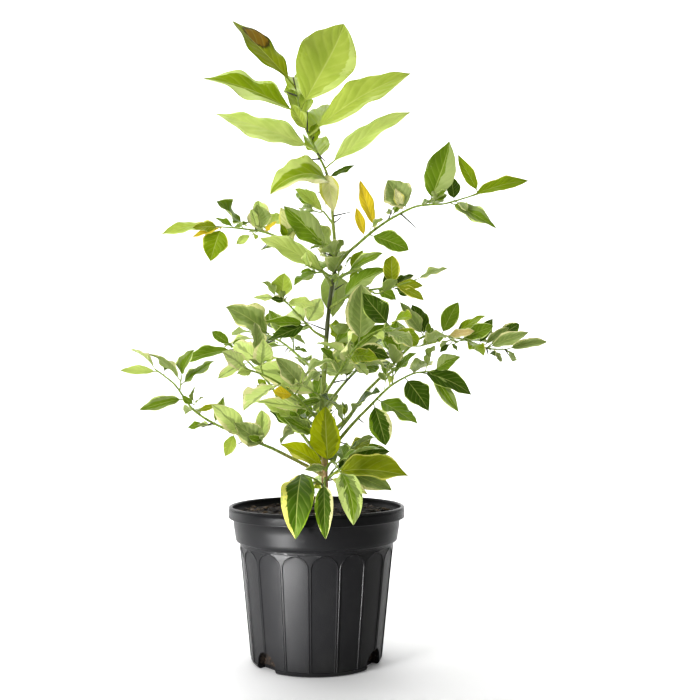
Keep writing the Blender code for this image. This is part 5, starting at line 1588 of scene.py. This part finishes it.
@dataclass
class Pot:
    """The fluted pot with its rolled rim and drain notches, and the soil that fills it."""

    finishes: Finishes
    columns: int = 24  # round each flute
    half_flute: int = 8  # columns from the middle of a flute to its edge
    step_width: float = 0.0007  # of a flute's slanting edge, and of each face of the bead round it
    bead: float = 0.0007  # how far that bead stands out
    flute_depth: float = 0.00045
    flute_flat: float = 0.0007  # how much deeper its middle is
    crumb_relief: float = 0.0030
    chips: int = 240

    def profile(self) -> tuple[list[tuple[float, float]], set[int]]:
        """The pot's profile from the middle of its floor, over the rim, to the middle of its underside.

        Returns:
            The points of radius and height, and which of them lie in the flutes.
        """
        half_rim = RIM_WIDTH / 2
        lip_foot = POT_HEIGHT - LIP_HEIGHT
        points = [(0.0, FLOOR), (pot_inside(FLOOR) - 0.003, FLOOR), (pot_inside(FLOOR + 0.003), FLOOR + 0.003)]
        points += [(pot_inside(height), height) for height in (0.06, 0.12, SHOULDER_FOOT, 0.18, 0.19, lip_foot)]
        points += [(pot_inside(lip_foot + LIP_SLOPE * share), lip_foot + LIP_SLOPE * share) for share in (0.3, 0.7, 0.95)]
        points += [(RIM_RADIUS - RIM_WIDTH + 0.0001, POT_HEIGHT - half_rim - 0.0018)]
        points += arc((RIM_RADIUS - half_rim, POT_HEIGHT - half_rim), half_rim, 175, 20, 10)
        points += [(RIM_RADIUS - 0.0012, POT_HEIGHT - 0.0034), (RIM_RADIUS - 0.0002, POT_HEIGHT - 0.0044)]
        points += [(RIM_RADIUS, POT_HEIGHT - 0.006), (RIM_RADIUS - 0.0003, lip_foot + 0.0032)]
        points += [(RIM_RADIUS, lip_foot + 0.0022), *arc((RIM_RADIUS - 0.0012, lip_foot + 0.0012), 0.0012, 30, -90, 4)]
        points += [(BAND_TOP_RADIUS + 0.0006, lip_foot), (BAND_TOP_RADIUS - 0.0001, lip_foot - 0.0008)]
        points += [(BAND_TOP_RADIUS - 0.001, lip_foot - 0.012), (BAND_FOOT_RADIUS + 0.0006, BAND_FOOT + 0.004)]
        points += [(BAND_FOOT_RADIUS, BAND_FOOT), (BAND_FOOT_RADIUS - 0.0012, BAND_FOOT - 0.0016)]
        points += [(BODY_RADIUS + 0.0016, SHOULDER_FOOT + 0.0012), (BODY_RADIUS + 0.0013, SHOULDER_FOOT + 0.0002)]
        points += [(body_radius(SHOULDER_FOOT - 0.0008) + 0.0002, SHOULDER_FOOT - 0.0008)]
        reach = body_radius(FLUTE_TOP) * self.half_room
        spring = FLUTE_TOP - reach
        points += [(body_radius(height), height) for height in (FLUTE_TOP + 0.0022,)]
        above = [FLUTE_TOP + 0.0014, FLUTE_TOP + 0.0007, FLUTE_TOP]
        first = len(points) + len(above)
        heights = [*above, FLUTE_TOP - 0.0006]
        heights += [spring + reach * math.sin(math.radians(turn)) for turn in (72, 62, 52, 42, 32, 21, 10, 0)]
        heights += [spring + (FLUTE_FOOT + 0.0006 - spring) * k / 8 for k in range(1, 9)]
        points += [(body_radius(height), height) for height in heights]
        fluted = set(range(first, len(points)))
        points += [(body_radius(FLUTE_FOOT), FLUTE_FOOT), (body_radius(BASE_ROUNDING), BASE_ROUNDING)]
        points += arc((body_radius(0) - BASE_ROUNDING, BASE_ROUNDING), BASE_ROUNDING, -10, -90, 6)
        points += [(0.0, 0.0)]
        return points, fluted

    @property
    def half_room(self) -> float:
        """Half the angle that a flute takes up."""
        return math.pi / FLUTES * FLUTE_SHARE

    def flute_reach(self, height: float) -> float:
        """Half the angle of a flute at a height, where its head is a round arch."""
        reach = body_radius(FLUTE_TOP) * self.half_room
        above = min(max(height - (FLUTE_TOP - reach), 0.0), reach - 0.0004)
        return self.half_room * math.sqrt(1 - (above / reach) ** 2)

    def cut_flutes(self, bm: bmesh.types.BMesh, fluted: list[float]) -> None:
        """Moves the wall's columns to the edges of the flutes, and sets the flutes' floors back."""
        turn = math.tau / FLUTES
        start = 1.5 * math.pi + FIRST_FLUTE
        low, high = FLUTE_FOOT + 0.0003, FLUTE_TOP + 0.0018
        for vert in bm.verts:
            spread = vert.co.xy.length
            on_wall = low < vert.co.z < high and spread > body_radius(vert.co.z) - 0.0005
            if spread < 1e-5:
                continue
            column = round(math.atan2(vert.co.y, vert.co.x) / math.tau * FLUTES * self.columns)
            flute, place = divmod(column + self.columns // 2, self.columns)
            place -= self.columns // 2
            offset = place / self.columns * turn
            if on_wall:
                edge = self.flute_reach(vert.co.z)
                step = self.step_width / spread
                outside = abs(place) - self.half_flute
                if outside <= 0:
                    offset = edge * place / self.half_flute
                elif place < self.columns // 2 and place > -self.columns // 2:
                    offset = math.copysign(min(edge + step * outside, turn / 2), place)
                over = vert.co.z - FLUTE_TOP
                if outside <= 0 and any(abs(vert.co.z - height) < 1e-5 for height in fluted):
                    spread -= self.flute_depth + self.flute_flat * (1 - (place / self.half_flute) ** 2)
                elif outside in (1, 2) if over < 1e-5 else outside <= (2 if over < 0.001 else 1):
                    spread += self.bead
            angle = start + flute * turn + offset
            vert.co.x, vert.co.y = spread * math.cos(angle), spread * math.sin(angle)

    def notch_cutter(self, name: str, grown: float, turn: float) -> bpy.types.Object:
        """A prism in the shape of a low arch, which cuts one drain notch."""
        width, top = NOTCH_WIDTH + 2 * grown, NOTCH_HEIGHT + grown
        outline = [(width / 2, -0.002), *arc((0.0, top - width / 2), width / 2, 0, 180, 20), (-width / 2, -0.002)]
        bm = bmesh.new()
        face = bm.faces.new([bm.verts.new((x, 0.0, max(z, -0.002))) for x, z in outline])
        pulled = bmesh.ops.extrude_face_region(bm, geom=[face])
        moved = [item for item in pulled["geom"] if isinstance(item, bmesh.types.BMVert)]
        bmesh.ops.translate(bm, verts=moved, vec=(0.0, 0.030, 0.0))
        bmesh.ops.recalc_face_normals(bm, faces=bm.faces)
        out = Matrix.Translation((0.0, BASE_RADIUS - NOTCH_DEPTH - grown, 0.0))
        bm.transform(Matrix.Rotation(turn, 4, "Z") @ out)
        return object_of(name, bm, [])

    def cut_notches(self, obj: bpy.types.Object, grown: float) -> None:
        """Cuts the three drain notches and applies the cuts."""
        cutters = []
        for k, degrees in enumerate(NOTCH_TURNS):
            cutters.append(self.notch_cutter(f"notch_{k}", grown, math.radians(degrees) + math.pi))
            modifier = obj.modifiers.new(f"notch_{k}", "BOOLEAN")
            modifier.operation, modifier.object, modifier.solver = "DIFFERENCE", cutters[-1], "EXACT"
        bpy.context.view_layer.update()
        mesh = bpy.data.meshes.new_from_object(obj.evaluated_get(bpy.context.evaluated_depsgraph_get()))
        obj.modifiers.clear()
        obj.data = mesh
        mesh.set_sharp_from_angle(angle=math.radians(38))
        for cutter in cutters:
            bpy.data.objects.remove(cutter, do_unlink=True)

    def shell(self) -> bpy.types.Object:
        """The pot itself."""
        points, fluted = self.profile()
        bm = spun(points, FLUTES * self.columns)
        self.cut_flutes(bm, [points[k][1] for k in sorted(fluted)])
        pot = object_of("pot_shell", bm, [self.finishes.of(PotFinish())])
        self.cut_notches(pot, 0.0)
        return pot

    def soil_height(self, x: float, y: float) -> float:
        """The crumbly top of the soil, which rises a little towards the trunk."""
        spread = math.hypot(x, y)
        rough = noise.noise(Vector((x * 90, y * 90, 3.0))) + 0.6 * noise.noise(Vector((x * 260, y * 260, 7.0)))
        mound = 0.004 * math.exp(-((math.hypot(x - 0.012, y) / 0.03) ** 2))
        edge = min(1.0, max(0.0, (pot_inside(SOIL_TOP) - 2 * GAP - spread) / 0.012))
        return SOIL_TOP + (mound + self.crumb_relief * (0.35 + rough * 0.7)) * edge

    def soil(self) -> bpy.types.Object:
        """The soil, whose top is crumbly."""
        rim = pot_inside(SOIL_TOP) - 2 * GAP
        points = [(rim * k / 44, SOIL_TOP) for k in range(45)]
        levels = (POT_HEIGHT - LIP_HEIGHT, SHOULDER_FOOT, FLOOR + GAP)
        points += [(pot_inside(height) - GAP, height) for height in levels]
        points += [(0.0, FLOOR + GAP)]
        bm = spun(points, 180)
        for vert in bm.verts:
            if vert.co.z > SOIL_TOP - 1e-5:
                vert.co.z = self.soil_height(vert.co.x, vert.co.y)
        soil = object_of("soil_bed", bm, [self.finishes.of(SoilFinish())])
        self.cut_notches(soil, GAP)
        return soil

    def bark_chips(self) -> bpy.types.Object:
        """Bits of bark that lie on the soil."""
        rng = random.Random(5)
        pile = MeshPile("bark_chips")
        for _ in range(self.chips):
            spread, angle = (pot_inside(SOIL_TOP) - 0.008) * rng.random() ** 0.5, rng.uniform(0, math.tau)
            x, y = spread * math.cos(angle), spread * math.sin(angle)
            if math.hypot(x - 0.012, y) < 0.012:
                continue
            size = rng.uniform(0.0022, 0.0075)
            centre = Vector((x, y, self.soil_height(x, y) + size * 0.12))
            tilt = Matrix.Rotation(rng.uniform(-0.5, 0.5), 3, "X") @ Matrix.Rotation(rng.uniform(-0.5, 0.5), 3, "Y")
            basis = Matrix.Rotation(rng.uniform(0, math.tau), 3, "Z") @ tilt
            rings = []
            for share, width in ((-0.9, 0.5), (-0.4, 1.0), (0.3, 0.95), (0.9, 0.4)):
                ring = []
                for k in range(6):
                    turn = math.tau * k / 6
                    local = Vector((share, 0.55 * width * math.cos(turn), 0.26 * width * math.sin(turn)))
                    local *= size * rng.uniform(0.8, 1.15)
                    ring.append(centre + basis @ local)
                rings.append(ring)
            ends = [centre + basis @ Vector((share * size, 0.0, 0.0)) for share in (-1.0, 1.0)]
            slot = pile.slot_of(self.finishes.of(rng.choice(BARK_CHIPS)))
            pile.add(np.array(rings), ends[0], ends[1], np.full((5, 6), slot))
        return pile.built()

    def build(self) -> None:
        """Builds the pot and its soil, and dresses the frame with them."""
        keep(self.shell(), "pot_plastic", "pot")
        keep(self.soil(), "potting_mix", "soil")
        keep(self.bark_chips(), "potting_mix")


def keep(piece: bpy.types.Object, slot: str, *nodes: str) -> None:
    """Rides a piece on the object's one body, in place of these nodes."""
    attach(piece, "root")
    if nodes:
        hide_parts(*nodes)
    LOG.info("%s: %d faces", piece.name, len(piece.data.polygons))


@dataclass
class Plant:
    """The trunk, the boughs, the twigs, the thorns and the leaves."""

    tree: Tree
    finishes: Finishes
    thorn_step: float = 0.034
    thorn_seed: int = 77
    thorn_radius: float = 0.00135
    open_depth: float = 0.012  # where the front ends, whose thorns are listed

    def wood(self) -> bpy.types.Object:
        """The trunk and the boughs, whose bark stands out and in."""
        bark, young = self.finishes.of(TRUNK_BARK), self.finishes.of(BOUGH_BARK)
        pile = WoodPile("trunk_and_boughs")
        pile.add_limb(self.tree.trunk, 20, 0.0025, 0.16, bark, bury=0.002)
        for line in self.tree.boughs.values():
            pile.add_limb(line, 12, 0.004, 0.10, young)
        return pile.built()

    def twigs(self) -> bpy.types.Object:
        """The green stems and side twigs that carry the leaves, and the dry stub at the leader's tip."""
        green, dry = self.finishes.of(TWIG_BARK), self.finishes.of(LEADER_BARK)
        pile = WoodPile("stems_and_twigs")
        for name, mass in self.tree.masses.items():
            if name == "top":
                cut = mass.stem.length * 0.9
                pile.add_limb(mass.stem.part(0.0, cut), 10, 0.005, 0.06, green, bury=GAP)
                pile.add_limb(mass.stem.part(cut, mass.stem.length), 10, 0.004, 0.08, dry, bury=0.0005)
            else:
                pile.add_limb(mass.stem, 8, 0.006, 0.06, green, bury=GAP)
            for twig in mass.twigs:
                pile.add_limb(twig, 6, 0.008, 0.05, green)
            for sprig in mass.sprigs:
                pile.add_limb(sprig, 5, 0.004, 0.0, green)
        return pile.built()

    def thorns(self) -> bpy.types.Object:
        """The long straight thorns: in front as listed, and behind where a node has one by chance."""
        rng = random.Random(self.thorn_seed)
        green, tip = self.finishes.of(THORN_GREEN), self.finishes.of(THORN_TIP)
        low, high = (Vector(corner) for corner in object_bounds())
        pile = WoodPile("thorns")
        limbs = {"trunk": self.tree.trunk}
        limbs.update({f"bough_{name}": line for name, line in self.tree.boughs.items()})
        limbs.update({f"stem_{name}": mass.stem for name, mass in self.tree.masses.items()})
        for name, at, heading, rise, length in THORNS:
            line = limbs[name]
            foot, radius, _ = line.at(line.length * at)
            way = towards(heading, rise)
            pile.add_thorn(foot + way * radius * 0.5, way, length / 1000, self.thorn_radius, green, tip)
        for limb in limbs.values():
            for k in range(1, int(limb.length / self.thorn_step) + 1):
                foot, radius, ahead = limb.at(self.thorn_step * (k - rng.uniform(0.2, 0.8)))
                side = ahead.orthogonal().normalized()
                side.rotate(Matrix.Rotation(rng.uniform(0, math.tau), 3, ahead))
                way = (side + ahead * rng.uniform(0.1, 0.7) + UP * 0.15).normalized()
                length = rng.uniform(0.014, 0.030) * min(1.0, 0.6 + radius * 150)
                end = foot + way * length
                if end.y < self.open_depth or foot.z < POT_HEIGHT + 0.02:
                    continue
                if all(low[i] < end[i] < high[i] for i in range(3)) and clears_pot(np.array([end])):
                    pile.add_thorn(foot, way, length, self.thorn_radius * 0.9, green, tip)
        return pile.built()

    def leaves(self, name: str, mass: Foliage) -> bpy.types.Object:
        """The leaves of one mass."""
        pile = LeafPile(f"leaves_{name}", self.finishes, mass.branch.seed)
        looks, weights = zip(*mass.branch.grove.value)
        for blade in mass.blades:
            look = blade.look or pile.rng.choices(looks, weights)[0]
            pile.add_blade(blade, look)
        return pile.built()

    def build(self) -> None:
        """Builds the whole plant and dresses the frame with it."""
        boughs = [f"bough_{name}" for name in self.tree.boughs]
        keep(self.wood(), "bark", "trunk", *boughs)
        keep(self.twigs(), "green_bark")
        keep(self.thorns(), "green_bark")
        for name, mass in self.tree.masses.items():
            node = f"foliage_{name}"
            keep(self.leaves(name, mass), SLOTS.get(name, "leaves"), node)


def towards(heading: float, rise: float) -> Vector:
    """The direction that lies so many degrees round from +X and so many up."""
    round_it, up = math.radians(heading), math.radians(rise)
    return Vector((math.cos(round_it) * math.cos(up), math.sin(round_it) * math.cos(up), math.sin(up)))


THORNS = (  # limb, share along it, degrees round and up, length in mm
    ("stem_top", 0.84, 192, 17, 20),
    ("stem_top", 0.52, 271, 84, 33),
    ("stem_top", 0.33, 326, -44, 25),
    ("stem_top", 0.28, 204, -10, 46),
    ("stem_top", 0.06, 218, 61, 19),
    ("stem_top", 0.01, 205, -19, 25),
    ("stem_upper_left", 0.34, 206, -47, 41),
    ("stem_upper_left", 0.55, 211, 55, 17),
    ("stem_upper_right", 0.39, 327, -43, 43),
    ("stem_upper_right", 0.28, 331, 66, 20),
    ("stem_lower_left_high", 0.71, 275, 78, 21),
    ("stem_lower_left_low", 0.46, 199, -21, 19),
    ("stem_lower_left_low", 0.20, 200, -27, 18),
    ("trunk", 0.92, 336, 7, 35),
    ("trunk", 0.56, 199, 19, 37),
    ("trunk", 0.42, 205, -19, 23),
    ("stem_spur_left", 0.04, 205, 16, 21),
    ("bough_front_right", 0.88, 342, 11, 27),
    ("bough_lower_right_low", 0.73, 338, -38, 13),
    ("bough_lower_right_low", 0.30, 329, -15, 17),
    ("stem_lower_right_high", 0.85, 297, -70, 14),
    ("stem_lower_right_high", 0.99, 324, -59, 12),
)
SLOTS = {
    "top": "lime_leaves",
    "upper_left": "pale_leaves",
    "front_right": "pale_leaves",
    "front_left": "pale_leaves",
    "heart_left": "pale_leaves",
}


@dataclass
class Studio:
    """A pale floor that runs up into a pale wall, soft lights, and the camera of the photograph."""

    pixels: float = 903.0  # the focal length in pixels of a frame 700 wide
    camera: tuple[float, float, float] = (0.0473, -1.300, 0.3615)
    pitch: float = 3.34
    air: float = 0.46  # how bright the light from all round is

    def floor(self) -> None:
        """Builds the floor and the wall behind it as one sweep."""
        profile = [(-6.0, 0.0), (2.2, 0.0), *((2.2 + 1.2 * math.sin(a), 1.2 - 1.2 * math.cos(a)) for a in BEND), (3.4, 5.0)]
        bm = bmesh.new()
        verts = [bm.verts.new((-6.0, y, z)) for y, z in profile]
        edges = [bm.edges.new(pair) for pair in zip(verts, verts[1:])]
        pulled = bmesh.ops.extrude_edge_only(bm, edges=edges)
        moved = [item for item in pulled["geom"] if isinstance(item, bmesh.types.BMVert)]
        bmesh.ops.translate(bm, verts=moved, vec=(12.0, 0.0, 0.0))
        bmesh.ops.recalc_face_normals(bm, faces=bm.faces)
        paint = Paint("studio")
        paint.finish((0.92, 0.92, 0.92), 0.8)
        floor = object_of("floor", bm, [paint.material])
        floor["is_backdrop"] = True

    def light(self, name: str, place: Vector, aim: Vector, size: tuple[float, float], power: float) -> None:
        """Adds one soft light, a rectangle that gives off light on one side."""
        data = bpy.data.lights.new(name, "AREA")
        data.shape, data.size, data.size_y, data.energy = "RECTANGLE", *size, power
        obj = bpy.data.objects.new(name, data)
        obj.location = place
        obj.rotation_euler = (aim - place).to_track_quat("-Z", "Y").to_euler()
        obj.visible_camera = False
        bpy.context.scene.collection.objects.link(obj)

    def low_spot(self, place: Vector, aim: Vector) -> None:
        """Adds the soft spot that stands low beside the camera and puts the sheen on the pot."""
        data = bpy.data.lights.new("low_spot", "SPOT")
        data.energy, data.shadow_soft_size = 300.0, 0.05
        data.spot_size, data.spot_blend = math.radians(17.0), 0.7
        obj = bpy.data.objects.new("low_spot", data)
        obj.location = place
        obj.rotation_euler = (aim - place).to_track_quat("-Z", "Y").to_euler()
        bpy.context.scene.collection.objects.link(obj)

    def build(self) -> None:
        """Builds the studio."""
        self.floor()
        world = bpy.data.worlds.new("studio_air")
        world.use_nodes = True
        world.node_tree.nodes["Background"].inputs["Color"].default_value = (1.0, 1.0, 1.0, 1.0)
        world.node_tree.nodes["Background"].inputs["Strength"].default_value = self.air
        bpy.context.scene.world = world
        bpy.context.scene.view_settings.view_transform = "Standard"
        plant = Vector((0.0, 0.0, 0.42))
        self.light("key", Vector((-1.5, -1.6, 1.35)), plant, (0.7, 1.9), 33.0)
        self.low_spot(Vector((-0.62, -0.72, 0.03)), Vector((-0.02, -0.06, 0.10)))
        self.light("edge", Vector((-1.1, 0.5, 0.5)), Vector((0.0, 0.0, 0.2)), (0.8, 1.0), 6.0)
        self.light("crown", Vector((-0.3, 0.6, 2.8)), plant, (1.6, 1.6), 22.0)
        for side in (-1.3, 0.0, 1.3):
            self.light("backdrop", Vector((side, 1.5, 2.9)), Vector((side * 1.4, 3.6, 1.2)), (1.4, 0.8), 60.0)
        data = bpy.data.cameras.new("camera")
        data.sensor_width = 36.0
        data.lens = self.pixels * 36.0 / 700.0
        data.clip_start, data.clip_end = 0.05, 60.0
        obj = bpy.data.objects.new("camera", data)
        obj.location = self.camera
        obj.rotation_euler = (math.radians(90.0 + self.pitch), 0.0, 0.0)
        bpy.context.scene.collection.objects.link(obj)
        bpy.context.scene.camera = obj


BEND = tuple(math.radians(7.5 * k) for k in range(13))


def main() -> None:
    """Builds the pot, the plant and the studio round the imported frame."""
    logging.basicConfig(level=logging.INFO, format="%(message)s")
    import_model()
    finishes = Finishes()
    Pot(finishes).build()
    Plant(Tree.grown(), finishes).build()
    Studio().build()


if __name__ == "__main__":
    main()
